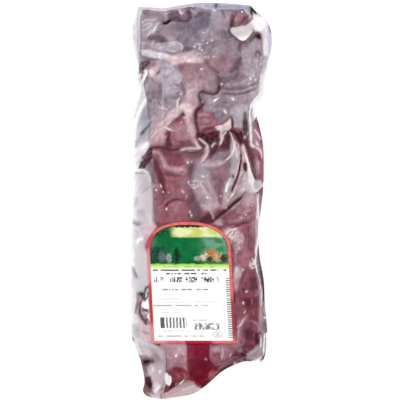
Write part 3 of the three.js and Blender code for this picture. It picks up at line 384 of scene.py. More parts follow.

# Strokes of the meat: shade, route, half width, strength, depth of the crease in millimetres
# Dark strokes along the creases are painted shade in them, on top of their real depth.
FLESH_STROKES = (
    ("wine", (187.2, 7.8, 190.4, 6.8), 1.3, 0.7, 0.6),
    ("dark mauve", (188.6, 7, 188.6, 12, 190, 18, 188, 21), 1.4, 0.9, 1.4),
    ("black", (163.4, 24.2, 166, 23.8, 168.6, 22.2, 170.6, 21.4), 1.15, 1, 1.6),
    ("dark mauve", (169.6, 21.6, 176, 20.6, 182, 21.4), 1.1, 0.8, 0.8),
    ("wine", (192.4, 8.6, 194, 9), 1.4, 0.8, 0.4), ("dark mauve", (197, 17.4, 200.6, 13.6), 1.4, 0.6, 0.5),
    ("plum", (222, 9.6, 223.6, 14, 225.6, 18.6), 1.4, 0.8, 0.8),
    ("wine", (231.4, 27, 232, 22, 235, 17), 1.2, 0.7, 1),
    ("wine", (241.6, 23.6, 246, 17.6, 249.4, 13), 1, 0.5, 0.8),
    ("dark mauve", (233, 17, 237, 14.4), 0.9, 0.6, 0.4),
    ("dark mauve", (229.6, 30, 233, 35.6, 237.6, 40, 242.2, 42, 246, 39.8, 250.6, 34.8, 253.6, 32.4), 0.8,
     0.95, 1.8), ("plum", (241.4, 43.4, 240.2, 48, 240.6, 53), 1.2, 0.85, 1.2),
    ("plum", (206, 61, 210, 66.4, 215, 71.6, 220, 74.4), 1, 0.85, 1.2),
    ("plum", (231, 73, 237, 70.4, 240.6, 64, 240.8, 58), 1.3, 0.6, 0.8),
    ("lilac", (212.6, 12, 211.8, 20, 210, 28, 204.6, 36), 1.2, 0.5, 0),
    ("pale mauve", (213, 38, 224, 41, 234, 48), 1.1, 0.4, 0),
    ("pale mauve", (208, 47, 218, 50, 232, 56), 1.1, 0.5, 0),
    ("dark mauve", (160, 42.6, 165.6, 42), 1.1, 0.6, 0.8), ("pale", (152.6, 44, 154.4, 41.6), 0.8, 0.7, 0),
    ("pale", (158, 46, 160, 43.4), 0.8, 0.6, 0), ("pale", (161, 48, 163.4, 45), 0.8, 0.5, 0),
    ("plum", (143, 62.4, 150, 61, 160, 59.6), 0.9, 0.7, 0.8),
    ("plum", (158.4, 73.6, 159.8, 72), 1.3, 0.9, 0.6),
    ("dark mauve", (152, 79, 156, 82.6, 163, 84.4), 0.9, 0.35, 0.5),
    ("plum", (157, 84.6, 162, 84.4), 0.9, 0.6, 0.4), ("dark mauve", (171, 86, 173.4, 88.6), 1.2, 0.85, 0.6),
    ("dark mauve", (174.6, 84.8, 178, 86.4), 1, 0.8, 0.6),
    ("plum", (169, 91.6, 174, 90.4, 179, 89), 0.8, 0.6, 0.4),
    ("plum", (181.6, 83, 184, 87.6, 186, 92.6, 183.4, 96), 1.2, 0.75, 0.8),
    ("pale", (181, 92, 182.6, 94.6), 0.9, 0.7, 0), ("plum", (147, 101.6, 151, 101, 155, 98), 1, 0.7, 0.6),
    ("plum", (149, 90, 150, 97), 1, 0.4, 0.4), ("plum", (160, 104, 162, 106), 1.2, 0.6, 0.4),
    ("blush", (144.4, 90, 145.4, 96), 0.9, 0.6, 0), ("lilac", (151, 99, 157, 101, 161, 99), 1, 0.5, 0),
    ("lilac", (152, 108, 158, 107), 1, 0.5, 0), ("lilac", (160, 110, 156, 118, 151, 127), 1, 0.5, 0),
    ("blush", (165, 112, 160, 121, 153, 130), 1, 0.5, 0),
    ("fat and highlight", (172, 113, 167, 119, 160, 126), 0.9, 0.6, 0),
    ("fat and highlight", (158, 130, 153, 136, 150, 140), 1.1, 0.5, 0),
    ("dusty rose", (163, 115, 157, 124, 152, 131), 0.8, 0.45, 0),
    ("dusty rose", (169, 117, 164, 123, 158, 129), 0.8, 0.45, 0),
    ("dusty rose", (181, 111, 187, 106.6, 193, 108), 0.7, 0.3, 0),
    ("wine", (182.6, 113, 184.6, 116), 1.3, 0.75, 0.6),
    ("wine", (171.6, 129.4, 169.4, 134, 169, 140, 171.6, 146), 1.1, 0.6, 0.8),
    ("soft pink", (184, 124, 188, 133, 192, 142), 1, 0.5, 0),
    ("pink", (176, 130, 180, 128, 184, 131), 1.2, 0.5, 0),
    ("pink", (172, 142, 180, 144, 188, 143), 1.4, 0.4, 0), ("fat and highlight", (187.6, 117, 188.6, 119), 0.8, 0.7, 0),
    ("fat and highlight", (188, 128, 189.6, 131), 0.8, 0.6, 0),
    ("dusty rose", (193.6, 113, 194.4, 122, 196, 130), 0.8, 0.5, 0),
    ("plum", (220, 89.2, 232, 90, 244, 88.6, 252, 85.6, 258.4, 82.6), 0.8, 0.85, 0.8),
    ("dark mauve", (224, 94, 236, 94.8, 246, 93.2, 252, 91, 256, 88.6), 0.8, 0.8, 0.8),
    ("pale mauve", (226, 92.2, 240, 92, 250, 89), 0.7, 0.6, 0),
    ("grey mauve", (232, 84, 242, 81, 250, 76), 0.8, 0.5, 0.4),
    ("wine", (199, 97, 199, 93.6, 201.8, 91.8, 206, 92.6, 213, 93.8, 217, 93.2, 219, 90, 219, 85.6), 1.15, 1,
     2),
    ("wine", (198.8, 96, 201, 100, 203, 104, 200, 107.4, 197, 110, 195.6, 115, 196, 122, 198, 130, 198.6,
     136), 1.4, 1, 2.2), ("pale mauve", (204, 96, 210, 96.6, 216, 96), 0.9, 0.7, 0),
    ("lilac", (211.6, 112, 215.6, 108.8, 221, 108, 227, 110), 0.9, 0.7, 0.2),
    ("plum", (222, 102.6, 229, 103.6, 236, 102), 0.9, 0.6, 0.4),
    ("lilac", (229, 97.6, 233, 99.6, 236, 98), 1, 0.5, 0),
    ("plum", (213.4, 112, 215, 118, 219.6, 122), 1, 0.7, 0.6),
    ("dull red", (199, 118.6, 205, 117, 212, 118.6), 0.8, 0.7, 0.4),
    ("dull red", (199, 125, 206, 125, 213, 122.6), 0.8, 0.7, 0.4),
    ("wine", (204, 131, 210, 128, 214.6, 128.4), 0.8, 0.7, 0.6),
    ("dark mauve", (231.9, 117.6, 232.2, 123, 232, 128), 0.8, 0.95, 1),
    ("black", (222.6, 135, 226, 132, 231, 130.8, 235.6, 133, 239, 137.6), 0.9, 0.9, 1.2),
    ("black", (245.4, 113, 246, 122, 245.8, 132), 0.9, 0.6, 1.8),
    ("wine", (218.6, 77, 219.6, 84, 218, 91), 2.4, 0.45, 0.6),
    ("dark mauve", (172, 25, 176, 29, 180, 31), 2, 0.45, 0.4),
    ("wine", (148.6, 151, 151.6, 148.2, 155, 147.2, 161, 146.8, 168, 148, 173, 149.8, 180, 150), 0.95, 0.95,
     1.2), ("dark red", (158, 148, 166, 149.4, 172, 151), 1.4, 0.5, 0),
    ("wine", (181, 151.6, 190, 152.2, 199, 151, 203, 147), 1, 0.95, 1.4),
    ("dark mauve", (148.6, 158, 153.6, 157.4), 1, 0.8, 0.6),
    ("soft pink", (151, 151.6, 157, 151.4, 161, 154, 163.6, 160, 166, 165.4, 171, 169.4, 178, 170.4, 184,
     169.4), 2.4, 0.75, -0.8),
    ("wine", (156, 160, 159, 168, 161.6, 176, 163, 184, 165.6, 191), 2.6, 0.45, 0.9),
    ("dark red", (165, 174.6, 172, 174.6, 180, 176), 1.6, 0.6, 0.6),
    ("dull red", (164, 193, 169, 194, 174, 195.6), 1.1, 0.5, 0.4),
    ("wine", (166, 206, 169, 202.6, 173, 200, 177, 198.8, 180, 199), 0.95, 0.85, 1.2),
    ("dull red", (180, 199, 186, 201, 192, 204.4), 0.9, 0.6, 0.6),
    ("dull red", (158, 206, 162, 203, 166, 198, 170, 196.4), 0.9, 0.5, 0.5),
    ("dull red", (165, 208, 168, 214, 171, 218), 1.2, 0.4, 0.4),
    ("pink", (170, 183, 174, 190, 173, 196), 1.6, 0.3, 0),
    ("dark mauve", (188.6, 213.6, 191.6, 218, 195, 221.4), 0.8, 0.8, 0.4),
    ("soft pink", (152, 179, 152.8, 196, 153.2, 210, 154.6, 222), 0.9, 0.7, 0),
    ("pale", (188.4, 182.6, 190.6, 184.4, 193, 184), 0.8, 0.6, 0),
    ("pale", (191.4, 180.4, 194, 180.8, 197, 179), 0.8, 0.6, 0),
    ("pale", (191.6, 186.6, 195.4, 187.2, 198.6, 184), 1, 0.65, 0),
    ("dark mauve", (190, 182, 193, 182.6), 0.8, 0.5, 0),
    ("pale mauve", (184, 177, 188, 179, 190, 182), 0.9, 0.4, 0),
    ("blush", (202, 163.6, 208, 166, 215, 165, 223, 162.6, 230, 160), 1.4, 0.55, -0.3),
    ("blush", (199.6, 181, 204, 186, 208, 193, 212, 199.6, 216, 206), 1, 0.7, -0.3),
    ("blush", (207, 178, 210, 184, 214, 190, 218, 199, 220.6, 206), 0.9, 0.5, -0.3),
    ("blush", (205, 205, 210, 209, 213, 214, 213.8, 219), 1, 0.7, -0.3),
    ("dusty rose", (203, 182, 208, 189, 213, 197), 0.9, 0.7, 0.3),
    ("purple red", (213, 174, 218, 182, 222, 194), 1.2, 0.5, 0.3),
    ("dull red", (219, 199, 220.4, 204), 1.2, 0.7, 0.3),
    ("blush", (231, 198, 226.6, 203, 224, 209), 1.2, 0.7, -0.3),
    ("black", (249.4, 188.6, 243.6, 194.2, 238.2, 198.8, 232.4, 204, 226.2, 209.2, 220.4, 213.8, 214.8,
     218.2, 209, 222.6), 0.75, 1, 1),
    ("wine", (240, 197.6, 233, 204.2, 226, 210, 219, 215.6, 210, 222), 1.2, 0.4, 0.5),
    ("blush", (243, 197.6, 236.6, 203.6, 230.6, 208.6), 0.9, 0.6, 0),
    ("dusty rose", (244, 204, 238, 209, 233, 215), 1.2, 0.5, 0),
    ("soft pink", (236, 210, 242, 212, 249, 209), 1, 0.5, 0),
    ("soft pink", (238, 216, 246, 217, 253, 214), 1, 0.4, 0),
    ("dull red", (229, 224.6, 243, 222, 257, 216), 1.1, 0.7, 0.8),
    ("dark red", (222, 221, 226, 223), 1.2, 0.7, 0.4),
    ("wine", (241.4, 154, 240.6, 160, 239.2, 168, 236.8, 176, 234, 184, 231.4, 191), 0.85, 1, 1.2),
    ("black", (245.2, 163.4, 245.8, 168.8), 1.5, 1, 0.9),
    ("black", (232.4, 175.4, 232.8, 176), 1.3, 0.9, 0.3),
    ("lilac", (247, 173, 242, 180, 237, 190), 0.9, 0.6, 0),
    ("pale", (251, 180, 244, 188, 238, 194), 0.8, 0.5, 0),
    ("wine", (231, 227.4, 238, 224.6, 243, 222.6, 250, 221.4, 256.4, 218), 0.85, 0.8, 1),
    ("rose", (246, 230, 247, 240, 245.6, 250), 1.4, 0.5, 0),
    ("dull red", (249, 236, 250, 248), 1.4, 0.5, 0.4),
    ("blush", (241.6, 232, 243.4, 238, 241, 243), 0.8, 0.6, 0), ("fat and highlight", (236, 236, 234.6, 240), 1, 0.5, 0),
    ("fat and highlight", (239.4, 240, 238, 244, 240, 248), 0.9, 0.5, 0),
    ("dusty rose", (234, 234, 240, 233), 0.8, 0.6, 0), ("dusty rose", (230, 238, 236, 243), 1, 0.6, 0),
    ("soft pink", (236, 252, 235, 258, 236.6, 263), 0.9, 0.5, 0),
    ("dark red", (232.6, 240, 233.4, 256, 234.4, 270), 0.8, 0.5, 0),
    ("blush", (241, 266, 241.4, 270, 239.6, 276), 0.7, 0.6, 0),
    ("blush", (233.8, 276, 234.4, 284), 0.8, 0.6, 0),
    ("dull red", (239, 284, 243, 278, 246, 270), 1.4, 0.5, 0.5),
    ("dark red", (238, 290, 242, 296, 243, 306), 1.4, 0.5, 0.5),
    ("soft pink", (251.8, 297, 252, 303), 0.6, 0.4, 0), ("dusty rose", (254, 294, 258, 293), 0.8, 0.5, 0),
    ("soft pink", (242, 300, 243.6, 303.6), 0.9, 0.7, 0),
    ("dull red", (240, 318, 246, 312, 250, 308), 1, 0.6, 0.5), ("pink", (252.6, 309, 254, 313), 0.7, 0.4, 0),
    ("pink", (250, 318, 256, 321, 258, 326), 1, 0.5, 0),
    ("blush", (244, 316.6, 241.6, 321.6, 239, 325.6), 1, 0.85, -0.3),
    ("blush", (240.6, 321.6, 236.6, 325.6), 0.8, 0.7, 0),
    ("blush", (238.4, 326, 239, 331, 237.6, 337), 0.8, 0.6, 0),
    ("soft pink", (238, 331, 236.8, 342), 0.9, 0.7, 0), ("dusty rose", (243, 343, 243, 336), 1, 0.5, 0),
    ("dull red", (252, 336, 254, 330), 0.9, 0.6, 0), ("black", (259.2, 338.6, 259.8, 342), 1, 0.95, 0.3),
    ("black", (256, 333, 256.8, 342), 0.9, 0.6, 0.3),
    ("wine", (209.4, 345, 208.2, 352, 209, 358, 212.4, 363, 217, 367.2, 222, 369.4), 0.8, 0.85, 1.6),
    ("black", (215, 366, 220, 368.6, 226, 366, 231, 362.4, 234, 358.6), 1, 0.85, 0.8),
    ("dark red", (214, 356, 217, 352, 220, 354), 0.8, 0.5, 0.3),
    ("dull red", (219, 350, 221, 358, 225, 365), 0.9, 0.6, 0.5),
    ("blush", (222, 345, 223, 352, 221.6, 359), 0.9, 0.7, 0),
    ("blush", (231, 351, 229.6, 356, 230.6, 361), 0.9, 0.7, 0), ("blush", (217, 364, 222, 362), 0.8, 0.6, 0),
    ("black", (242, 353, 244.4, 357), 1.4, 0.8, 0.4),
    ("dusty rose", (246, 346, 250, 352, 247, 358), 1.2, 0.5, 0),
    ("lilac", (234, 344, 237, 348, 241, 350), 1.2, 0.4, 0),
    ("raw red", (194, 372, 198, 370, 204, 373), 0.8, 0.6, 0),
    ("pink", (205, 357.4, 206.4, 358.2), 1.1, 0.7, 0), ("black", (157, 343.4, 160.6, 343), 0.8, 0.9, 0.4),
    ("fat and highlight", (155.4, 344.6, 158, 347, 162, 346.2), 0.6, 0.8, 0),
    ("mauve", (156.4, 344.8, 160, 344.8), 0.8, 0.7, 0),
    ("dusty rose", (166, 346, 167, 354, 166, 366), 0.8, 0.5, 0),
    ("blush", (172, 344, 174, 350, 172.6, 358), 0.8, 0.4, 0),
    ("brown", (173.6, 352, 173.4, 357, 175, 358.6), 0.6, 0.7, 0),
    ("soft pink", (178, 346, 184, 352, 188, 358), 1, 0.5, 0),
    ("blush", (186, 358, 188.6, 362, 187, 366), 0.8, 0.4, 0),
    ("dark red", (173, 371, 175, 378), 1, 0.7, 0.3),
    ("dusty rose", (184, 371, 186, 376, 184, 380), 1, 0.6, 0),
    ("juice", (178, 371, 182, 369.4, 186, 372), 0.8, 0.5, 0), ("pink", (177, 373, 180, 376), 0.8, 0.4, 0),
)

# Fields of the film: shade, outline, softness of its edge, cover
FILM_FIELDS = (
    ("film", (120, 70, 140, 70, 147, 100, 149, 130, 144, 150, 137, 160, 138, 168, 149, 172, 153, 190, 154,
     230, 148, 262, 152, 340, 166, 348, 166, 372, 160, 400, 120, 400), 2, 0.35),
    ("pale", (262, 0, 276, 10, 274, 70, 266, 92, 256, 106, 262, 70, 264, 40), 2, 0.5),
    ("shadow film", (132, 14, 138, 10, 138, 30, 138, 62, 134, 58, 132, 36), 1.4, 0.3),
    ("lilac", (137.6, 4.4, 150, 4.2, 166, 6, 180, 3.4, 192, 1, 192, 6, 180, 8.4, 168, 9.4, 158, 9.4, 150,
     8.4, 141, 8.8, 140, 22, 139.8, 60, 137.6, 62, 137, 30), 0.8, 0.8),
    ("lavender", (190, 2, 200, 1, 216, 1.4, 240, 3, 251, 5, 251, 9.4, 240, 9, 226, 9.4, 212, 10, 204, 9, 194,
     6.4), 1.1, 0.9), ("violet film", (205, 4, 240, 4, 252, 5, 252, 8, 236, 8.6, 208, 8.6), 1.2, 0.5),
    ("pale", (253, 9, 258, 12, 264, 16, 270, 30, 269, 56, 263, 55, 262.6, 34, 258, 30), 1.2, 0.85),
    ("lavender", (267, 24, 270.6, 26, 272.4, 38, 271.4, 52, 268.6, 56, 268, 40), 1, 0.6),
    ("window", (230.4, 29, 232.6, 26.8, 236, 26.8, 238, 26.2, 241, 25.4, 246, 24.6, 250, 21.8, 253, 18, 254,
     12, 262, 12, 266, 24, 262, 31, 259, 31.4, 256, 30.6, 253.6, 31, 251.4, 33.6, 248.4, 37, 245.4, 40,
     242.4, 41.2, 239.4, 40.2, 236.2, 37.6, 233.2, 34, 231.2, 31.6), 0.5, 0.97),
    ("pale", (136.6, 80, 139, 76, 142.6, 71.4, 146, 69, 148, 70, 148, 74, 145, 79, 142, 84.6, 139.8, 84.4,
     140.6, 81, 138.6, 81.6), 0.8, 0.9),
    ("shadow film", (132, 120, 137, 104, 143, 88, 144, 92, 138, 110, 134, 124), 1.2, 0.15),
    ("white", (131, 140, 133, 122, 138, 110, 143, 100, 146.4, 96, 147, 101, 143, 108, 138.6, 118, 136.6, 130,
     136, 140), 1, 0.45),
    ("shadow film", (147, 101, 148.6, 108, 149.8, 114, 150, 122, 151.6, 127, 149, 133, 145, 140, 137, 141,
     137, 132, 138, 122, 141, 113, 144, 106), 1.3, 0.6),
    ("violet film", (142, 118, 147, 112, 150, 116, 151, 123, 147, 129, 142, 134, 140, 131, 143, 124), 1.8,
     0.6), ("pale", (137, 128, 141, 124, 142, 128, 139, 134, 140, 140, 137, 140), 1.4, 0.5),
    ("lilac", (142, 21, 150, 19, 157, 20, 160, 24, 154, 33, 148, 38, 143, 40, 141, 30), 2.4, 0.5),
    ("lilac", (166, 45, 171, 42.8, 180, 43.6, 183.6, 47.4, 182, 51, 173, 52.6, 166.4, 50.4), 0.9, 0.55),
    ("wine", (138, 74, 139, 64, 141, 61.6, 149, 61.4, 151, 62.4, 147.6, 66, 142.6, 70), 0.8, 0.7),
    ("black", (139.8, 78, 141, 73, 143.6, 71.2, 144, 73, 142, 77.4), 0.5, 0.9),
    ("lavender", (244, 0, 252, 2, 258, 6, 257, 10, 250, 8, 244, 6), 1, 0.6),
    ("pale", (146, 140, 150, 143, 148.6, 148, 146, 152, 140, 158, 132, 165, 130, 158, 136, 149), 1.2, 0.8),
    ("violet film", (135, 138, 139, 136, 141, 139, 137.6, 146, 134.6, 146), 1.2, 0.3),
    ("film", (134, 172, 146, 173, 149, 177, 151, 188, 152, 205, 153, 226, 141, 226, 137, 206, 138, 190, 136,
     178), 1.4, 0.7),
    ("blush", (145, 176, 150, 178, 151, 190, 152, 210, 152, 224, 148, 214, 146, 196), 1.6, 0.5),
    ("shadow film", (139, 174, 147, 175, 150, 186, 147, 189, 140, 190), 2, 0.2),
    ("shadow film", (136, 209, 144, 208, 146, 214, 138, 217), 2, 0.25),
    ("film", (131, 150, 136, 172, 137, 206, 141, 226, 131, 226, 130, 190), 2, 0.25),
    ("purple red", (243, 138, 249, 141, 254, 145, 259.6, 150, 262, 160, 262.6, 178, 259.6, 180, 255, 176,
     251, 166, 247.4, 152), 0.8, 1),
    # In the red pocket at the right: a dark red field, then a pink and a blush field that paint the
    # reflection on it
    ("dark red", (243, 138, 249, 141, 254, 146, 255.6, 152, 253.6, 162, 254.6, 172, 251, 166, 247.4, 152),
     1.3, 0.9), ("pink", (255.6, 156, 258, 154, 260.6, 160, 260, 171, 257.4, 175, 256, 168), 1.2, 0.7),
    ("blush", (257.4, 160, 259.2, 160, 259.2, 167, 257.8, 168), 1.2, 0.5),
    ("rose", (261.6, 140, 264.4, 150, 264.4, 181, 261, 184, 261, 160), 0.7, 0.95),
    ("dusty rose", (252, 121, 256, 120, 259, 130, 263, 140, 263.6, 150, 259, 148, 253.4, 145, 251.6, 132),
     0.8, 1), ("lilac", (253.4, 126, 255.6, 132, 258.6, 141, 257, 145, 254, 141), 1.2, 0.2),
    ("lilac", (251, 180, 256, 179, 260, 181, 262.8, 183, 262.6, 187, 258, 190, 255, 192.6, 251.6, 190), 1,
     0.85), ("pale", (247, 178, 253, 180, 254, 190, 254, 192, 250, 192, 245, 190, 245, 186), 2, 0.5),
    ("blush", (243, 194, 248, 188, 255, 190, 256, 204, 250, 203, 244, 200), 3, 0.45),
    ("pale", (231, 138, 235, 144, 238, 152, 238, 162, 237, 172, 233, 184, 229, 186, 230, 172, 231, 160, 230,
     150), 1.8, 0.4),
    ("pale", (246, 160, 248.4, 163, 250.8, 173, 254, 180, 252, 186, 248, 180, 247, 170), 1, 0.8),
    ("dusty rose", (259.2, 191, 263.4, 187, 263.6, 200, 262.2, 214, 260, 228, 258.8, 208), 0.7, 0.95),
    ("soft pink", (205, 146, 208.6, 145.6, 209.6, 150, 207.6, 156, 204, 161, 201, 162.6, 201, 158, 204, 153),
     0.9, 0.8),
    ("wine", (137.6, 168.4, 140, 161.6, 144, 158.4, 147.4, 156.6, 146.6, 152, 148.6, 148, 152.4, 147, 152.6,
     158, 150, 161, 147.6, 164, 144.4, 168.4), 0.6, 0.95),
    ("mauve", (147.6, 164, 151, 161, 153, 170, 153.4, 182, 152, 182, 150.4, 176, 147.6, 171), 0.8, 0.8),
    ("wine", (243.4, 136, 247, 137, 247.6, 142, 250, 146, 251.6, 156, 253.6, 166, 251, 166, 247, 152, 244,
     143), 0.7, 0.7), ("wine", (243, 124, 248, 122, 248.6, 134, 247, 139, 243.6, 139), 1, 0.35),
    # The first wine field below: painted shade in the recess under the red lump
    ("wine", (197, 132, 205, 133.6, 213, 131.6, 218, 132, 218.6, 139, 215, 147, 210, 154, 209, 147, 205, 141,
     199, 137), 0.8, 0.7), ("wine", (251.2, 166, 254, 172, 257, 179, 253.6, 177, 250.8, 171), 0.6, 0.7),
    ("purple red", (259.4, 187, 263.4, 186, 263.6, 194, 261, 196, 259.6, 192), 0.7, 0.9),
    ("dark red", (180, 141, 190, 140, 196, 143, 198, 147, 186, 148, 180, 147), 1.6, 0.3),
    ("rose", (247, 136, 252, 138, 256, 146, 262, 150, 262, 158, 255, 158, 250, 148), 1.4, 0.4),
    ("shadow film", (132, 219, 140, 220, 143, 223, 139, 225, 133, 223), 1.4, 0.4),
    ("blush", (144, 222, 154, 220, 157, 226, 151, 233, 146, 235, 143, 230), 1.6, 0.7),
    ("film", (131, 226, 141, 226, 147, 246, 148, 285, 137, 292, 131, 286, 130, 250), 2.2, 0.35),
    ("soft pink", (142, 234, 148, 234, 147, 246, 146, 252, 143, 250), 1.4, 0.6),
    ("blush", (144, 250, 148, 250, 148, 288, 145, 286), 1.4, 0.35),
    ("violet film", (131.4, 265, 134, 266, 138, 277, 136.4, 279, 133, 274), 1.2, 0.3),
    ("blush", (138, 296, 150, 292, 153, 340, 144, 340, 139, 322), 1.8, 0.8),
    ("pink", (136, 293, 141, 294, 141, 304, 139, 314, 135.6, 313, 137, 302), 1.2, 0.7),
    ("dusty rose", (139, 308, 146, 306, 151, 312, 151, 322, 146, 323.6, 141, 317), 1, 0.95),
    ("white", (144.6, 298, 147, 292, 150, 296, 150.6, 308, 146, 307, 142, 308.6, 142, 303), 0.7, 1),
    ("soft pink", (142, 326, 151, 322, 153, 338, 146, 338), 2, 0.5),
    ("film", (133, 338, 152, 341, 158, 345, 163, 350, 165, 358, 164, 376, 157, 389, 152, 380, 140, 358), 1.6,
     0.6),
    ("warm grey", (141, 344, 150, 346, 158, 347, 163, 353, 164, 366, 158, 372, 150, 356, 142, 352), 2, 0.7),
    ("dusty rose", (150, 354, 158, 353, 161, 360, 157, 366, 152, 366, 149, 360), 2, 0.6),
    ("warm grey", (153, 362, 163, 360, 164, 376, 157, 386, 152, 378), 2, 0.7),
    ("brown", (139, 354.6, 146, 354, 152, 357, 155, 361, 150, 365, 143, 366), 1.2, 0.95),
    ("wine", (142, 357, 148, 356.4, 150, 360, 148.6, 364, 144, 362.6), 1.1, 0.95),
    ("brown", (142, 364, 148, 364, 149, 372, 147, 377, 144, 377), 1.4, 0.75),
    ("brown", (144.6, 376, 151, 375, 153, 387, 150, 393, 143, 396, 141.6, 388), 1.2, 0.97),
    ("wine", (146, 377, 150.6, 376.6, 152.4, 384, 150.6, 388, 146.4, 385), 1, 0.95),
    ("dusty rose", (145.6, 392, 149, 390, 153.4, 392.6, 154.6, 397, 149, 398, 145, 396), 0.9, 0.9),
    ("warm grey", (153, 383, 160, 374, 164, 374, 165, 385, 161, 391, 166, 394, 166, 399, 156, 399, 153, 391),
     1.2, 0.7), ("dusty rose", (160, 388, 165, 387, 166, 398, 161, 399), 1.2, 0.4),
    ("pale", (153, 384, 157, 381, 160, 384, 157, 392, 154, 392), 1.2, 0.5),
    ("pink", (163, 397, 167, 391, 176, 386, 186, 379.6, 194, 381, 203, 386, 204, 391, 190, 396, 170, 401), 1,
     0.6), ("warm grey", (166, 396, 178, 390, 192, 384, 202, 387, 204, 391, 190, 396, 170, 401), 1.4, 0.5),
    ("window", (165.4, 372, 167.4, 371.6, 169, 374, 171.4, 375, 171.8, 380, 169.6, 384, 166, 383, 164.6,
     378), 0.7, 0.95),
    ("pink", (258, 280, 260, 288, 262.6, 300, 263, 318, 261, 330, 257.6, 330, 259, 300), 0.9, 0.8),
    ("plum", (259, 243, 260.4, 250, 262.4, 262, 264.2, 275, 265.8, 290, 266.4, 305, 266.8, 316, 263.4, 316,
     262.4, 305, 262.2, 290, 259.8, 275, 256.8, 263, 257.4, 250, 258.4, 243), 0.6, 0.97),
    ("mauve", (259.6, 318, 267.4, 317, 268.6, 331, 264, 334, 259.6, 330), 0.8, 0.97),
    ("pale mauve", (258.6, 332, 264, 334, 266.4, 340, 266, 352, 262, 358, 256, 358, 260, 346), 1, 0.7),
    ("pale", (247, 353, 254, 348, 262, 344, 264, 354, 256, 358, 248, 361), 2, 0.5),
    ("pale", (252, 358, 262, 356, 266, 358, 264, 365, 256, 363), 1.4, 0.5),
    ("juice", (194, 377, 200, 379, 205, 372, 211, 366, 217, 364.6, 224.4, 366, 225.6, 371.6, 218, 378.6, 209,
     386, 202, 388, 195, 384), 0.6, 1),
    ("dark juice", (196, 378, 203, 372, 208, 372, 208, 384, 202, 388, 195, 384), 1.4, 0.6),
    ("rose", (208.6, 371, 213, 369, 217, 371, 215, 375, 210, 380, 208.6, 377), 0.8, 0.85),
    ("rose", (218, 368, 222, 361, 230, 356, 240, 354, 250, 356, 250, 359.6, 246, 362.6, 240, 364, 235, 367,
     229, 370.6, 222, 375), 0.7, 1),
    ("wine", (237, 356, 241, 353, 246.4, 353, 246.6, 359, 243, 361, 238.6, 361), 1, 0.9),
    ("dark red", (232, 357, 238, 355, 238, 361, 233, 361), 1, 0.8),
    ("mauve", (246, 355, 254, 350, 262, 344, 263.4, 353, 256, 358, 248, 362), 1.2, 0.8),
    ("rose", (256, 218, 259.4, 218, 259.2, 232, 257.6, 250, 254, 252, 255.6, 236), 0.8, 0.6),
    ("raw red", (187, 357, 198, 356, 197, 364, 190, 370, 187, 366), 1.6, 0.5),
    ("brown", (226, 358, 232, 355, 234, 360, 228, 364, 222, 367), 1.2, 0.6),
    ("juice", (189, 360, 208, 359, 213, 366, 206, 374, 204, 386, 196, 382, 190, 376, 189, 366), 2, 0.3),
    ("pale", (139, 119, 153, 118, 152, 132, 150, 145, 139, 146), 3, 0.3),
    ("pale", (140, 288, 150, 288, 151, 300, 141, 301), 2.5, 0.25),
    ("pale", (140, 347, 152, 347, 151, 359, 141, 359), 2.5, 0.25),
    ("pale", (236, 107, 248, 108, 248, 120, 237, 120), 3, 0.3),
    ("pale", (164, 84, 176, 84, 177, 96, 165, 96), 3, 0.3),
    ("dark mauve", (140, 360, 152, 360, 151, 372, 141, 371), 2.5, 0.45),
    ("dull red", (224, 361, 235, 360, 234, 370, 226, 373), 2, 0.45),
    ("raw red", (212, 361, 223, 360, 224, 376, 214, 384), 2.5, 0.35),
    ("purple red", (224, 156, 236, 156, 236, 169, 225, 168), 3, 0.3),
    ("shadow film", (131, 323, 140, 323, 140, 337, 131, 337), 2, 0.35),
    ("crimson", (188, 359, 200, 359, 201, 373, 190, 371), 2.5, 0.25),
    ("pale", (140, 288, 150, 288, 151, 300, 141, 301), 2.5, 0.25),
)
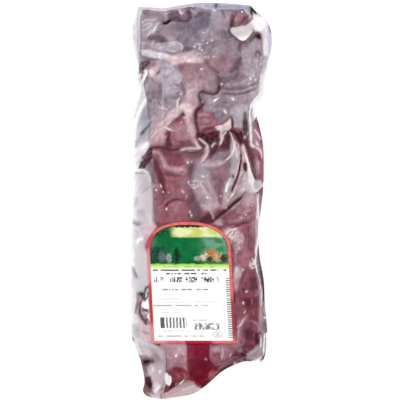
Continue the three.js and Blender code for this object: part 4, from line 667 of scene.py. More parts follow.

# Strokes of the film: shade, route, half width, cover, height of the fold in millimetres
# The white, pale and pinkish white strokes along raised folds are partly whitish doubled film and partly
# painted highlights; the folds' heights are real relief.
FILM_STROKES = (
    ("film", (138, 6, 150, 5.4, 158, 6.6, 166, 7.4, 176, 5, 190, 2.4, 200, 1.2), 0.8, 0.5, 0.3),
    ("film", (133.2, 15, 132.6, 30, 133, 46, 135.6, 60), 0.8, 0.5, 0.2),
    ("pale", (139.6, 10, 140, 30, 139.6, 52), 0.8, 0.4, 0.3),
    ("pale", (153.6, 31.6, 155.6, 29, 157.6, 26), 1.1, 0.8, 0.4),
    ("pale", (141, 22, 147, 20, 153, 20.6, 157, 19.4), 0.8, 0.4, 0.2),
    ("pale", (143, 26, 149, 23.6, 153, 25), 0.8, 0.35, 0.2),
    ("pale", (144, 31, 149, 28, 152, 25), 0.7, 0.35, 0.2),
    ("pale", (147, 37.4, 151, 32.6, 154, 30.4), 0.7, 0.45, 0.3),
    ("pale", (156.6, 26.6, 159.6, 23), 0.7, 0.3, 0.2),
    ("fat and highlight", (179.6, 9.6, 180.6, 12.4, 182, 14.6), 0.85, 0.9, 0.4),
    ("soft pink", (182.6, 14, 184.6, 11.6), 0.9, 0.6, 0),
    ("dark mauve", (186, 8.6, 188.6, 7, 189.6, 12, 190.6, 18, 188, 22.4), 1.5, 0.75, 0),
    ("dark mauve", (169, 19.6, 175, 19.6, 182, 21.6, 188, 22), 1.4, 0.7, 0),
    ("black", (163, 23.4, 166, 23, 168.6, 21.2, 171, 20), 0.7, 0.95, 0),
    ("dark mauve", (143, 9.4, 150, 9.4), 1.2, 0.5, 0),
    ("pale", (190.6, 9.6, 193.6, 12.4, 197, 13.2), 0.8, 0.35, 0.3),
    ("lilac", (166, 10, 165.8, 16, 167.2, 20.4), 0.9, 0.4, 0.3),
    ("pale", (168, 43.4, 175, 42.6, 181, 44.4, 183.4, 47.8, 182, 51), 0.7, 0.55, 0.3),
    ("pale", (166, 50.4, 171, 52.4, 178, 52.2), 0.7, 0.4, 0.3),
    ("pale", (170, 46, 173, 44.6, 176, 46), 0.8, 0.5, 0.2),
    ("pale", (194, 44, 198.6, 44.4, 200.6, 48, 198, 50.6), 0.7, 0.5, 0.2),
    ("ink violet", (216.8, 2.6, 216, 6, 215.2, 8.8), 1.5, 0.9, 0.2),
    ("white", (213.6, 10.2, 215.6, 10.6), 1.2, 0.6, 0),
    ("black", (250.6, 6, 253, 8.8, 256.6, 12.8), 1.7, 1, 0), ("ink violet", (258, 9, 259, 12), 0.8, 0.6, 0),
    ("black", (251, 9.6, 251.6, 13.6), 1.2, 1, 0),
    ("shadow film", (252, 14.4, 252.6, 18, 250.2, 21.4), 0.8, 0.8, 0.2),
    ("fat and highlight", (250, 14.6, 250.2, 18), 0.8, 0.7, 0.2), ("shadow film", (259, 14, 261, 15.6), 0.8, 0.6, 0),
    ("black", (258.3, 36.2, 258.9, 36.8), 2.3, 1, 0),
    ("dark mauve", (255.8, 56.4, 255.6, 53.6, 257.6, 52, 259.8, 53, 260, 55.6), 0.75, 0.85, 0),
    ("brown", (252.4, 29.2, 254.4, 31.6), 0.8, 0.6, 0),
    ("blush", (254, 32.2, 258, 31.4, 261.8, 33.8, 262.6, 40, 262.4, 53), 0.9, 0.75, 0.4),
    ("blue film", (268, 18, 269.6, 27, 271.4, 36, 271.4, 46, 269.8, 54), 1.3, 0.85, 0.2),
    ("ink violet", (269.4, 26, 271, 32), 0.9, 0.6, 0),
    ("shadow film", (262.4, 57, 266, 56.4, 268.4, 56), 0.7, 0.6, 0),
    ("shadow film", (262, 58, 266.6, 58, 265.4, 66, 262, 73), 1.5, 0.5, 0),
    ("black", (141.2, 76.4, 142, 74, 143.4, 72.4), 1.15, 1, 0),
    ("fat and highlight", (137.4, 81, 139.6, 77.4, 142, 73), 0.9, 0.9, 0.6),
    ("white", (148, 71.4, 146, 76, 142.6, 82.6), 0.9, 0.8, 0.8),
    ("film", (144, 86, 141, 94, 137, 104, 133.6, 118, 132, 134), 0.8, 0.5, 0.3),
    ("white", (145.4, 98, 142, 104, 137.6, 114, 134.4, 126, 133, 140), 0.9, 0.65, 0.6),
    ("ink violet", (141.4, 133, 144.4, 129.6, 148, 125.6, 151, 121), 1.2, 0.7, 0),
    ("ink violet", (141.2, 133.4, 143.4, 131.4), 1.2, 0.7, 0),
    ("pale", (163.6, 66, 163.4, 84, 163.6, 104, 163.4, 122), 0.8, 0.3, 0.15),
    ("fat and highlight", (159, 107, 163, 108, 168, 109.8), 0.8, 0.7, 0.3),
    ("fat and highlight", (180, 98.2, 177.8, 101, 177.5, 105, 178.4, 109), 1, 0.9, 0.5),
    ("fat and highlight", (178.4, 109, 177.6, 112.4), 0.8, 0.6, 0.3),
    ("fat and highlight", (164.6, 127.2, 169, 128.6, 174, 130.8), 0.95, 0.95, 0.5),
    ("fat and highlight", (167.6, 124, 170.8, 121.8), 0.9, 0.85, 0.3), ("fat and highlight", (170, 117.6, 172, 116.6), 0.9, 0.6, 0.2),
    ("fat and highlight", (171, 112, 173.4, 111.4), 0.9, 0.5, 0.2), ("fat and highlight", (161, 125.6, 164, 123.4), 0.8, 0.5, 0.2),
    ("fat and highlight", (155.6, 133.6, 158, 131.4), 0.8, 0.5, 0.2),
    ("fat and highlight", (213.6, 101.6, 216, 100, 218.8, 98.6), 0.8, 0.85, 0.3),
    ("fat and highlight", (223.8, 110.4, 226.2, 113.4), 0.95, 0.8, 0.3), ("pale", (232, 98, 233.6, 100.6), 0.9, 0.6, 0.2),
    ("white", (251.6, 105, 250, 111, 250.4, 122, 251, 136, 250.8, 144, 253.4, 147), 1.1, 0.95, 1.2),
    ("shadow film", (252.4, 106, 251, 110, 250.6, 116), 0.6, 0.6, 0),
    ("shadow film", (252.4, 108, 251.2, 113, 251.4, 118), 0.7, 0.8, 0),
    ("wine", (256.6, 105.4, 258.8, 109.4, 259.2, 113, 256.8, 117.4, 254.6, 120.6), 0.8, 0.95, 0),
    ("crimson", (257.4, 120.6, 259.6, 128, 262, 137, 263.4, 146), 2, 1, 0.3),
    ("wine", (256.4, 119, 258.4, 122), 1, 0.9, 0),
    ("fat and highlight", (254.6, 128.6, 258, 133.6, 261, 139), 0.8, 0.85, 0.3),
    ("fat and highlight", (244.4, 137, 246.4, 134.4), 0.9, 0.9, 0.2), ("fat and highlight", (247, 132, 247.8, 133.6), 0.8, 0.6, 0.2),
    ("wine", (244.6, 112, 245.4, 120, 245.8, 128, 246.4, 136), 1.6, 0.8, 0),
    ("wine", (231.8, 118, 232.4, 123, 232.6, 129), 0.7, 0.7, 0),
    ("wine", (139, 68, 141, 64.4, 145, 62.6), 1, 0.6, 0),
    ("white", (129.6, 161, 136, 153, 142, 147, 148.6, 141), 1.5, 0.85, 0.8),
    ("shadow film", (133, 157, 138, 151, 143, 146), 1, 0.4, 0),
    ("violet film", (135.6, 146, 137.6, 141, 140.6, 137), 1.1, 0.4, 0),
    ("white", (134, 168.8, 143, 168.8, 147, 171), 0.85, 0.9, 0.7),
    ("pale", (147, 171, 149.6, 175.4, 151.2, 184), 0.8, 0.5, 0.4),
    ("brown", (135, 172, 140, 172.6, 145, 172.4), 0.8, 0.55, 0),
    ("shadow film", (141.6, 193, 146, 188.8, 150.6, 185), 0.7, 0.6, 0),
    ("shadow film", (134.6, 206, 136, 201, 138, 195), 1, 0.6, 0),
    ("shadow film", (133, 221.6, 136.4, 224, 140, 223.4), 1, 0.6, 0),
    ("shadow film", (138, 211, 142, 209.6), 1, 0.4, 0),
    ("pale", (146, 212, 150, 216, 151, 222), 1.2, 0.5, 0.3),
    ("fat and highlight", (180.6, 149.6, 187, 148.4, 193, 148, 200.4, 147.8), 1.7, 0.8, 0.6),
    ("dusty rose", (184, 149.4, 192, 149, 198, 148.8), 0.75, 0.75, 0),
    ("fat and highlight", (195.4, 141, 197.6, 145, 200.6, 147.4), 1.2, 0.7, 0.6),
    ("fat and highlight", (199.2, 138, 203, 141, 207, 144.4, 208.4, 148), 0.9, 0.95, 1.6),
    ("blush", (206.8, 146, 208, 150, 205.6, 156, 202, 161), 1.4, 0.8, 1.6),
    ("fat and highlight", (211.6, 146, 213.2, 144, 215, 142.8), 0.9, 0.9, 0.6),
    ("fat and highlight", (226, 131.6, 223, 134.6, 222, 139, 219.8, 144.6), 1.1, 0.95, 1.8),
    ("fat and highlight", (229.6, 131.6, 232.4, 137, 234.4, 143, 234.2, 149, 231.8, 154, 228, 158.4, 225, 160.4), 0.85,
     0.95, 1.2), ("blush", (234.6, 139, 238, 145, 239, 151, 238.6, 156, 237.4, 160), 1, 0.7, 1),
    ("pale", (235.4, 145, 236.4, 151, 236.6, 158), 0.9, 0.6, 0.5),
    ("fat and highlight", (240.2, 157, 238.8, 164, 237, 171, 234.4, 179), 0.7, 0.85, 0.6),
    ("wine", (241.6, 155, 240.4, 162, 239, 168.6, 236.6, 177, 233.6, 185, 231.6, 191), 0.75, 0.9, 0),
    ("fat and highlight", (242.8, 144, 243.8, 149, 246.6, 158, 249, 167, 252, 176), 0.9, 0.9, 0.8),
    ("white", (245, 152, 248, 163, 250.4, 172, 254, 180), 0.7, 0.6, 0.5),
    ("fat and highlight", (249.6, 138.6, 252, 143.4, 256, 146.8, 259.4, 148, 261.4, 152, 262, 157), 0.8, 0.9, 0.8),
    ("white", (256.2, 141, 258.6, 145), 0.8, 0.6, 0.3), ("crimson", (259, 155, 259.6, 159), 1.1, 0.85, 0),
    ("crimson", (263.4, 150, 264, 166, 263.4, 181), 0.7, 0.6, 0.3),
    ("fat and highlight", (252.6, 187, 256, 190.4, 258.8, 188.6, 262.4, 185.6), 0.75, 0.9, 0.5),
    ("ink violet", (262.8, 186, 260, 189.6, 258.4, 192.4), 0.7, 0.7, 0),
    ("white", (256.2, 193, 257.6, 200, 258.7, 208, 258.6, 216, 258.6, 226), 0.65, 0.95, 0.9),
    ("white", (226, 191, 226.6, 186.6, 228, 183), 1.6, 0.85, 0.6),
    ("pale", (228.2, 181.6, 229.4, 178.6), 1, 0.6, 0.3),
    ("pale", (243.6, 171, 241, 172.6, 239.8, 176), 0.8, 0.6, 0.3),
    ("pale", (230, 197.6, 233, 194, 234.4, 190), 0.9, 0.6, 0.3),
    ("wine", (245.2, 163.4, 245.9, 168.8), 1.5, 0.9, 0), ("wine", (232.4, 175, 232.9, 176.4), 1.2, 0.8, 0),
    ("black", (206, 138.6, 210, 141, 211, 145), 0.9, 0.7, 0),
    ("raw red", (207, 134, 211, 135.6, 213.6, 134.4), 0.9, 0.5, 0),
    ("raw red", (199, 134, 202, 133.4), 1, 0.5, 0),
    ("shadow film", (134, 221.6, 138, 224, 142, 223), 0.9, 0.7, 0),
    ("white", (137, 243, 138, 239, 141.6, 237.6, 143, 240), 1.5, 0.85, 0.5),
    ("shadow film", (145, 236.6, 143.6, 241, 146, 245), 1.2, 0.6, 0),
    ("white", (134, 248, 133.6, 262, 132, 278), 1, 0.5, 0.2),
    ("ink violet", (132.4, 266, 134.4, 271, 137.4, 277.6), 0.75, 0.6, 0),
    ("shadow film", (131, 266, 134, 276), 1.2, 0.3, 0),
    ("black", (145.4, 297, 144.8, 292, 146, 287, 149, 284.4, 151, 284), 0.95, 1, 0),
    ("black", (138.4, 293, 141, 292.8, 144, 293), 1, 1, 0.4),
    ("black", (141.6, 292.6, 143, 296, 145, 298.4), 1.7, 1, 0.4),
    ("black", (146, 298, 148.4, 295, 148.6, 290), 0.9, 0.95, 0),
    ("wine", (142, 298, 140, 303, 139.6, 309), 0.9, 1, 0),
    ("wine", (149.6, 296, 150.4, 302, 151.4, 310), 0.9, 0.9, 0),
    ("black", (142, 306.8, 145, 308.4, 148.6, 308.8), 1.15, 1, 0),
    ("black", (139.4, 308.6, 140, 313, 143, 318, 147, 322.6), 1.5, 0.95, 0),
    ("plum", (138.6, 296, 137.6, 302, 135.6, 309, 134.8, 312), 1, 0.8, 0),
    ("black", (146.4, 312, 148, 316, 145.6, 320), 1.2, 0.9, 0),
    ("white", (149.6, 312, 148.6, 315, 150.8, 318), 1.1, 0.95, 0.4),
    ("white", (146, 310.6, 147, 311.4), 0.7, 0.6, 0), ("blush", (142, 311, 145, 312.6), 0.9, 0.7, 0),
    ("brown", (143, 331, 149.4, 331.6), 0.9, 0.55, 0),
    ("ink violet", (131, 335.6, 132.6, 338.6, 134, 341), 0.7, 0.85, 0),
    ("shadow film", (139, 341, 141, 348, 144, 353), 1, 0.4, 0),
    ("film", (146, 336, 146.6, 344, 149, 351), 0.9, 0.5, 0.3),
    ("brown", (138.4, 353, 141, 359, 142.4, 366, 143.4, 374, 145, 378, 142.8, 386, 142, 391, 145, 396, 148,
     397), 0.7, 0.7, 0), ("black", (145, 361.6, 148, 360.8), 1.7, 1, 0),
    ("wine", (150, 360.6, 153.6, 361.4), 1, 0.6, 0),
    ("pale", (151, 364.4, 153, 368, 152.4, 371), 1.2, 0.7, 0.3),
    ("pale", (148, 367, 149.4, 372), 0.8, 0.5, 0), ("black", (149.6, 383.4, 150.4, 386.4), 1.4, 0.95, 0),
    ("wine", (145.6, 378, 146, 384), 1.2, 0.7, 0),
    ("wine", (148.6, 391, 151.4, 390, 153.6, 394.6), 0.7, 0.7, 0),
    ("wine", (143, 391.6, 144.6, 395, 147.4, 396.6), 0.9, 0.6, 0),
    ("fat and highlight", (151.6, 394, 153, 396), 0.9, 0.6, 0),
    ("white", (155.6, 391, 158, 387.4, 161, 384), 0.9, 0.6, 0.5),
    ("brown", (160.6, 389, 162.4, 387.4), 1, 0.6, 0), ("brown", (160.8, 392.6, 161.2, 398), 0.6, 0.75, 0),
    ("lilac", (156, 345.6, 162, 349.4, 164.6, 354, 165, 362, 164.6, 370), 0.9, 0.6, 0.8),
    ("brown", (162.6, 351.6, 164, 356, 163.8, 364), 0.6, 0.35, 0),
    ("blush", (160, 374, 162, 366, 163, 360), 1, 0.5, 0), ("white", (166, 373.4, 167, 378), 0.9, 0.6, 0.3),
    ("shadow film", (169.6, 376, 169, 380, 171, 382), 0.7, 0.6, 0),
    ("white", (169, 380, 170.4, 377.6), 0.8, 0.5, 0),
    ("white", (179.4, 383.4, 182, 381, 184, 378.4), 0.6, 0.8, 0.3),
    ("soft pink", (164, 396, 170, 391, 178, 388, 188, 386), 1, 0.6, 0),
    ("mauve", (172, 396.4, 182, 395, 192, 392.6, 201, 389), 0.6, 0.6, 0),
    ("dusty rose", (196, 382.6, 199, 385.6, 202, 386), 0.8, 0.6, 0),
    ("pale", (182, 389, 188, 387.6, 196, 384), 0.8, 0.35, 0),
    ("pale", (176, 398, 188, 395.6, 198, 393), 0.7, 0.5, 0),
    ("soft pink", (256.4, 194, 256.6, 206, 256.4, 220, 256.4, 238, 254.4, 252), 0.8, 0.6, 0.5),
    ("white", (258.6, 220, 258.6, 232, 257.4, 243, 256.2, 250, 255.4, 262, 256.6, 268, 258.4, 275), 0.7, 1,
     1), ("fat and highlight", (258.4, 274, 260.4, 284, 261.6, 292, 261.6, 305), 0.6, 0.85, 0.8),
    ("pink", (255.4, 266, 257, 276, 259, 288, 260, 300), 0.7, 0.6, 0.3),
    ("wine", (258.6, 246, 260, 254, 261, 262, 261.8, 275, 263.6, 290, 264.4, 300, 263, 317), 0.75, 0.8, 0),
    ("wine", (261.6, 264, 262.6, 271), 1.2, 0.8, 0),
    ("fat and highlight", (249.6, 260, 249.4, 264, 252, 267, 255.4, 266), 0.8, 0.9, 0.6),
    ("blush", (252, 262.6, 253.6, 262.6), 2, 0.9, 0.5),
    ("fat and highlight", (251.6, 257.4, 254, 259.6, 256, 263), 0.9, 0.8, 0.4),
    ("ink violet", (262.2, 320, 263.4, 325, 262.4, 329), 0.9, 0.8, 0),
    ("plum", (265, 320, 266.6, 330), 0.7, 0.6, 0), ("white", (264, 301, 264.6, 317), 0.4, 0.5, 0),
    ("plum", (262.8, 334, 262.6, 344, 261.6, 355), 0.55, 0.85, 0),
    ("plum", (265.6, 334, 265.8, 344, 264.8, 355), 0.55, 0.8, 0),
    ("white", (264.2, 335, 264.4, 345, 263.4, 355), 0.7, 0.85, 0.3),
    ("white", (260.6, 336, 260.4, 346), 0.7, 0.5, 0.2),
    ("wine", (261, 359.4, 263, 357.6, 264.6, 354), 1.2, 1, 0),
    ("white", (255, 361.4, 260, 358.6), 1, 0.6, 0.3),
    ("fat and highlight", (225.6, 234, 228.6, 230, 231.6, 227.8), 1, 0.8, 0.3),
    ("fat and highlight", (231.6, 233, 233.6, 228.6, 237, 228), 0.9, 0.85, 0.3),
    ("fat and highlight", (232, 238, 235.6, 234.6, 239, 235), 0.8, 0.6, 0.3),
    ("blush", (234, 245, 238, 242.6), 0.7, 0.5, 0.2), ("pale", (236.2, 266.6, 236, 272), 0.9, 0.6, 0.2),
    ("wine", (202.6, 386.2, 208, 383, 214.6, 378, 221, 372.4, 224, 369.6), 1, 0.9, 0),
    ("dark juice", (199, 381, 204, 384, 208.6, 379.6), 1.4, 0.6, 0),
    ("pink", (210, 376, 213, 373.4), 0.9, 0.5, 0),
    ("dark juice", (218, 369.4, 224, 367, 230, 363, 235, 358.6), 1.2, 0.95, 0),
    ("fat and highlight", (233, 359, 235, 363, 234.6, 366.6), 0.8, 0.8, 0.3),
    ("soft pink", (240, 358.6, 243.6, 361), 0.9, 0.6, 0),
    ("brown", (246, 361.6, 250, 359.4, 256, 357.6), 0.7, 0.6, 0),
    ("crimson", (147.6, 252, 146.8, 246, 148, 240, 151, 235.6), 1.1, 0.9, 0),
    ("shadow film", (133.4, 228, 137, 231, 136, 238), 0.9, 0.35, 0),
    ("dark juice", (203, 383, 206, 379.6, 211, 375.6), 1, 0.8, 0),
    ("juice", (210, 376, 215, 371.6, 219, 368.6), 1, 0.7, 0),
    ("wine", (217, 370.4, 222, 366.8, 229, 362.6, 236, 358.6, 246, 357), 1.5, 0.9, 0),
)

# Small glints on the film, painted highlights: middle, half widths, turn
GLINTS = (
    (226, 29.5, 1.2, 1.1, 0), (212, 41, 1.4, 0.9, 0), (203.4, 33.5, 1, 1.2, 0), (203, 41, 0.9, 1.2, 0),
    (200.6, 45, 0.8, 0.7, 0), (194.8, 46.9, 1.2, 1.1, 0), (199.4, 48, 0.8, 0.8, 0),
    (202, 50.6, 0.8, 1.5, -30), (204.4, 53.4, 0.8, 1.6, -35), (197.4, 54.6, 0.8, 1.2, 20),
    (195.6, 57, 0.8, 0.8, 0), (207.3, 43.5, 0.9, 0.9, 0), (205.4, 57.4, 1.2, 0.9, 0),
    (208.4, 58, 0.9, 1.2, 20), (214, 57.4, 1.4, 1, 0), (242.2, 11.7, 1, 0.9, 0), (199, 60, 1.4, 0.9, 0),
    (201.6, 69.4, 1.5, 1, 0), (181.4, 13.4, 1.2, 2, 20), (166.8, 13.4, 0.6, 1, 20),
    (260.4, 64, 0.9, 1.4, 0), (261, 57.6, 0.9, 1.2, 0), (256, 67, 0.7, 1.4, 20), (253, 75, 0.8, 2.2, 20),
    (221.6, 84, 1.4, 1.4, 0), (249.8, 78.6, 0.9, 1.8, -20), (248.6, 83.4, 1.5, 1.3, 0),
    (255, 79.6, 1, 1.4, 0), (202.5, 101.6, 0.9, 1.4, 0), (215, 100, 2.4, 0.9, -30), (233, 99.2, 2.4, 1, 25),
    (225, 111.6, 0.9, 2.4, -35), (184.3, 117.4, 1.1, 1.1, 0), (181.6, 122.6, 0.9, 0.9, 0),
    (180.4, 94, 1.2, 0.8, 0), (188, 162, 0.9, 1.2, 0), (191.7, 161.4, 1.1, 0.9, 0),
    (203, 175.6, 1.6, 1.1, 20), (198.5, 178.4, 0.9, 0.9, 0), (188.6, 181.6, 0.9, 0.9, 0),
    (194, 184, 1.4, 0.8, 30), (182.9, 190.6, 0.9, 1.8, -35), (186.4, 195.3, 0.9, 1.1, 0),
    (154.2, 185, 0.9, 1.6, 0), (161.4, 185.4, 1, 2.2, -25), (156.4, 189.4, 1.2, 1, 0),
    (155, 195, 0.7, 1.2, 0), (163.4, 191, 0.7, 1.6, -40), (169.5, 192, 1.2, 0.8, 0), (167, 208, 1, 1.3, 20),
    (190, 211, 0.9, 1.4, -20), (191.6, 214.4, 0.9, 1.8, -30), (226, 206.5, 1.2, 1.8, 0),
    (220.7, 195.5, 0.9, 0.9, 0), (232, 194.4, 1.1, 1.4, 0), (207.3, 196.4, 1.2, 1.1, 0),
    (245.5, 213.4, 1.2, 0.9, 0), (241, 217, 0.8, 0.8, 0), (249, 209, 0.8, 0.8, 0), (252, 205, 0.7, 0.7, 0),
    (246, 290, 1.6, 0.9, 0), (243, 301, 0.9, 1.4, 20), (245, 309, 0.8, 0.8, 0), (237, 268, 0.8, 1, 0),
    (242.6, 268, 0.8, 1.2, 0), (176.2, 353.4, 1.1, 1.7, 20), (206, 357.6, 0.8, 1, 0),
    (244, 311, 0.8, 0.8, 0), (176, 383, 0.9, 0.9, 0), (160, 371, 1.2, 1.6, 20), (232, 236, 0.9, 1.2, 20),
    (236, 251, 0.8, 0.9, 0),
)

# Print of the label, in pixels from its foot's left corner: across and up. A line of small print is
# its height above the foot, its ends, its thickness, its darkness and the length of its dashes.
PRINT_LINES = (
    (73, 3, 78, 1.4, 1, 2.6), (69.6, 18, 60, 1.5, 0.95, 1.3), (53.8, 14, 60, 1.3, 0.8, 1.2),
    (44.4, 12, 30, 0.9, 0.3, 4), (41.4, 15, 64, 0.9, 0.24, 5), (38, 4, 60, 1.2, 0.6, 3.2),
    (34.4, 13, 30, 0.9, 0.26, 3), (31.2, 12, 30, 0.9, 0.3, 4), (7.6, 7, 52, 1.1, 0.6, 3),
    (12.8, 12, 38, 0.9, 0.35, 2.4), (23.4, 42, 60, 1, 0.5, 2), (76.4, 16, 66, 1, 0.45, 2),
)
# Boxes of print: left, foot, right, top
TITLE = (6, 61, 70, 66.2)
BIG_MARKS = (43.5, 14, 68, 20.4)
BAR_CODE = (10, 15.6, 36, 26.2)
BAR_CODE_START = (10, 15.6, 13.6, 26.2)
SIDE_STRIPES = (76.8, 6, 81.4, 65)
SIDE_LINE = (73.2, 10, 74.4, 42)
SEAL = (66, 9.4)  # middle of a small round mark
PRINT_EDGE = 0.3  # half the width of the soft edge of print
INK, PALE_INK = (0.07, 0.07, 0.09), (0.5, 0.56, 0.68)
PICTURE_FOOT = 79  # where the picture ends and a bright band starts
PANEL_TOP = 74  # where the band ends and the white panel starts
BAND = ((1, 1.05, 0.75), (0.42, 0.82, 0.08))
PANEL = (1.05, 1.05, 1.05)

# Picture: heights in pixels above the label's foot, and colours, most of them dark and light
HILL_TOP, TWIGS_FROM, WOOD_TOP, MEADOW_TOP = 103, 118.4, 90, 86
SKY = ((0.62, 0.68, 0.16), (0.86, 0.88, 0.5))
TALL_TREES = ((0, 0.05, 0.02), (0, 0.17, 0.05))
HILL = ((0, 0.14, 0.04), (0.17, 0.38, 0.25))
HILL_DARK, HILL_LIGHT = (0, 0.2, 0.05), (0.26, 0.46, 0.34)
TWIGS = (0.01, 0.02, 0.012)
WOOD = ((0, 0.016, 0.014), (0.01, 0.07, 0.05))
MEADOW = ((0, 0.06, 0.02), (0, 0.13, 0.03))
SPECKLE = (0.4, 0.5, 0.3)
# Bushes and stones: middle, half widths, colour
BUSHES = (
    ((64, 89), (6, 5), (0.62, 0.27, 0.08)), ((70, 86), (5, 4.4), (0.74, 0.47, 0.22)),
    ((57, 86), (4.4, 3.6), (0.8, 0.7, 0.55)), ((50, 84.6), (3.4, 2.6), (0.45, 0.5, 0.42)),
    ((62, 84), (3, 2.4), (0.09, 0.07, 0.05)), ((15, 86), (3.6, 5.6), (0.13, 0.19, 0.2)),
    ((22, 85), (3, 4.6), (0.36, 0.44, 0.46)), ((30, 88), (2.4, 7.6), (0.01, 0.03, 0.02)),
    ((76, 85), (3.4, 3.6), (0.05, 0.05, 0.04)),
)

# Red border: its width in pixels, and patches of other reds. A patch is four soft edges, each from
# where it starts to where it ends: left, right, foot, top. Then come its share and its colour.
BORDER_WIDTH = 3.1
BORDER_EDGE = 0.35  # half the width of its soft edge
BORDER_REDS = ((0.86, 0.2, 0.18), (0.74, 0.13, 0.13))
ARCH_SHADOW = (0.01, 0.02, 0.015)
BEFORE, BEYOND, LEFT_END = (-20, -10), (200, 210), (10, 20)  # two edges off the label, and one on it
SHOULDER = (BEFORE, LEFT_END, (92, 96), (106, 112))
BORDER_PATCHES = (
    (BEFORE, LEFT_END, (58, 64), (88, 93), 0.8, (0.8, 0.3, 0.32)),
    (BEFORE, LEFT_END, BEFORE, (14, 20), 0.8, (0.8, 0.32, 0.32)),
    (BEFORE, LEFT_END, (18, 24), (56, 62), 1, (0.62, 0.04, 0.05)),
    (*SHOULDER, 1, (0.6, 0.05, 0.06)),
    ((60, 70), BEYOND, (4, 10), (40, 50), 1, (0.38, 0.06, 0.07)),
    ((33, 34), (58, 62), BEFORE, (4, 6), 1, (0.52, 0.02, 0.04)),
)

# Places and masks

def place(x, y):
    """Metres of a photograph pixel."""
    return (x - MIDDLE[0]) * PIXEL, (MIDDLE[1] - y) * PIXEL


def pixels(points):
    """Photograph pixels of points in metres."""
    return np.stack((points[:, 0] / PIXEL + MIDDLE[0], MIDDLE[1] - points[:, 1] / PIXEL), axis=1)


def smooth(low, high, value):
    t = np.clip((value - low) / (high - low), 0, 1)
    return t * t * (3 - 2 * t)


def points_along(route):
    """The points of a route that is written as a row of numbers: across, down, across, down."""
    return np.reshape(np.array(route, float), (-1, 2))


def near(where, route, reach):
    """Numbers of the places within a reach of the box round a route."""
    low, high = np.min(route, axis=0) - reach, np.max(route, axis=0) + reach
    return np.nonzero(np.all((where > low) & (where < high), axis=1))[0]


def off_route(where, route):
    """Distance of each place from a route of straight steps, and the share of the route at that point."""
    nearest, share = np.full(len(where), np.inf), np.zeros(len(where))
    steps = np.diff(route, axis=0)
    lengths = np.linalg.norm(steps, axis=1)
    for i, (start, step) in enumerate(zip(route[:-1], steps)):
        along = np.clip((where - start) @ step / lengths[i] ** 2, 0, 1)
        gap = np.linalg.norm(where - start - along[:, None] * step, axis=1)
        closer = gap < nearest
        nearest = np.where(closer, gap, nearest)
        share = np.where(closer, (lengths[:i].sum() + along * lengths[i]) / lengths.sum(), share)
    return nearest, share


def stroke(where, route, half, crisp):
    """A stroke along a route, thinner at its ends: the places it reaches and its strength there."""
    route = points_along(route)
    found = near(where, route, 3 * half)
    gap, share = off_route(where[found], route)
    tip = TIP if math.dist(route[0], route[-1]) > 4 * half else 1
    width = half * (tip + (1 - tip) * np.sin(math.pi * share) ** 0.5)
    return found, np.exp(-((gap / width) ** crisp))


def field(where, outline, soft):
    """A field with a drawn outline: the places it reaches and its strength there."""
    corners = points_along(outline)
    found = near(where, corners, 2 * soft)
    here = where[found]
    gap, _ = off_route(here, np.vstack((corners, corners[:1])))
    inside = np.zeros(len(here), bool)
    for (ax, ay), (bx, by) in zip(corners, np.roll(corners, -1, axis=0)):
        if ay != by:
            crossing = ax + (here[:, 1] - ay) * (bx - ax) / (by - ay)
            inside ^= ((ay > here[:, 1]) != (by > here[:, 1])) & (here[:, 0] < crossing)
    return found, smooth(-soft, soft, np.where(inside, gap, -gap))


def in_ellipse(where, x, y, half_x, half_y, turn):
    """Distance from an ellipse's middle as a share of its half widths. A turn is clockwise."""
    across, down = where[:, 0] - x, where[:, 1] - y
    c, s = math.cos(math.radians(turn)), math.sin(math.radians(turn))
    return np.hypot((across * c + down * s) / half_x, (down * c - across * s) / half_y)


def wobble(where, size, seed):
    """Smooth noise from about -1 to 1, in lumps of so many pixels across and down."""
    spots = np.column_stack((where / size, np.full(len(where), float(seed))))
    return np.array([noise.noise(Vector(spot)) for spot in spots])


def wrinkles(where, size, turn, seed):
    """Thin lines of stretched film: 1 on a line, 0 between lines."""
    c, s = math.cos(math.radians(turn)), math.sin(math.radians(turn))
    turned = np.column_stack((where[:, 0] * c + where[:, 1] * s, where[:, 1] * c - where[:, 0] * s))
    return np.exp(-((wobble(turned, np.array(size), seed) / WRINKLE_WIDTH) ** 2))


def hand_drawn(where):
    """Places shifted a little, so that drawn edges waver as real ones do."""
    broad = np.column_stack([wobble(where, 9, seed) for seed in (31, 41)])
    fine = np.column_stack([wobble(where, 3.5, seed) for seed in (32, 42)])
    return where + WAVER * (broad + 0.5 * fine)


def inside_label(points):
    """Metres inside the label's edge, positive under it, from its straight sides, its foot and its arch."""
    up = points[:, 1] - LABEL_FOOT[1]
    across = np.abs(points[:, 0] - LABEL_FOOT[0] - up * LABEL_LEAN)
    arch = np.hypot(np.maximum(across, 0), np.maximum(up - LABEL_SIDE, 0) * LABEL_WIDTH / 2 / ARCH_RISE)
    return np.minimum(LABEL_WIDTH / 2 - np.maximum(across, arch), up)


def linear(shade):
    """Linear colour of an sRGB one of 0 to 255."""
    share = np.array(shade, float) / 255
    return np.where(share > 0.04045, ((share + 0.055) / 1.055) ** 2.4, share / 12.92)


# Meshes

def only(piece):
    bpy.ops.object.select_all(action="DESELECT")
    piece.select_set(True)
    bpy.context.view_layer.objects.active = piece


def points_of(piece):
    found = np.empty(len(piece.data.vertices) * 3)
    piece.data.vertices.foreach_get("co", found)
    return found.reshape(-1, 3)


def normals_of(piece):
    found = np.empty(len(piece.data.vertices) * 3)
    piece.data.vertices.foreach_get("normal", found)
    return found.reshape(-1, 3)


def move_points(piece, points):
    piece.data.vertices.foreach_set("co", points.ravel())
    piece.data.update()


def keep_value(piece, name, values):
    piece.data.attributes.new(name, "FLOAT", "POINT").data.foreach_set("value", values)


def keep_colour(piece, name, colours):
    with_alpha = np.column_stack((colours, np.ones(len(colours))))
    piece.data.attributes.new(name, "FLOAT_COLOR", "POINT").data.foreach_set("color", with_alpha.ravel())


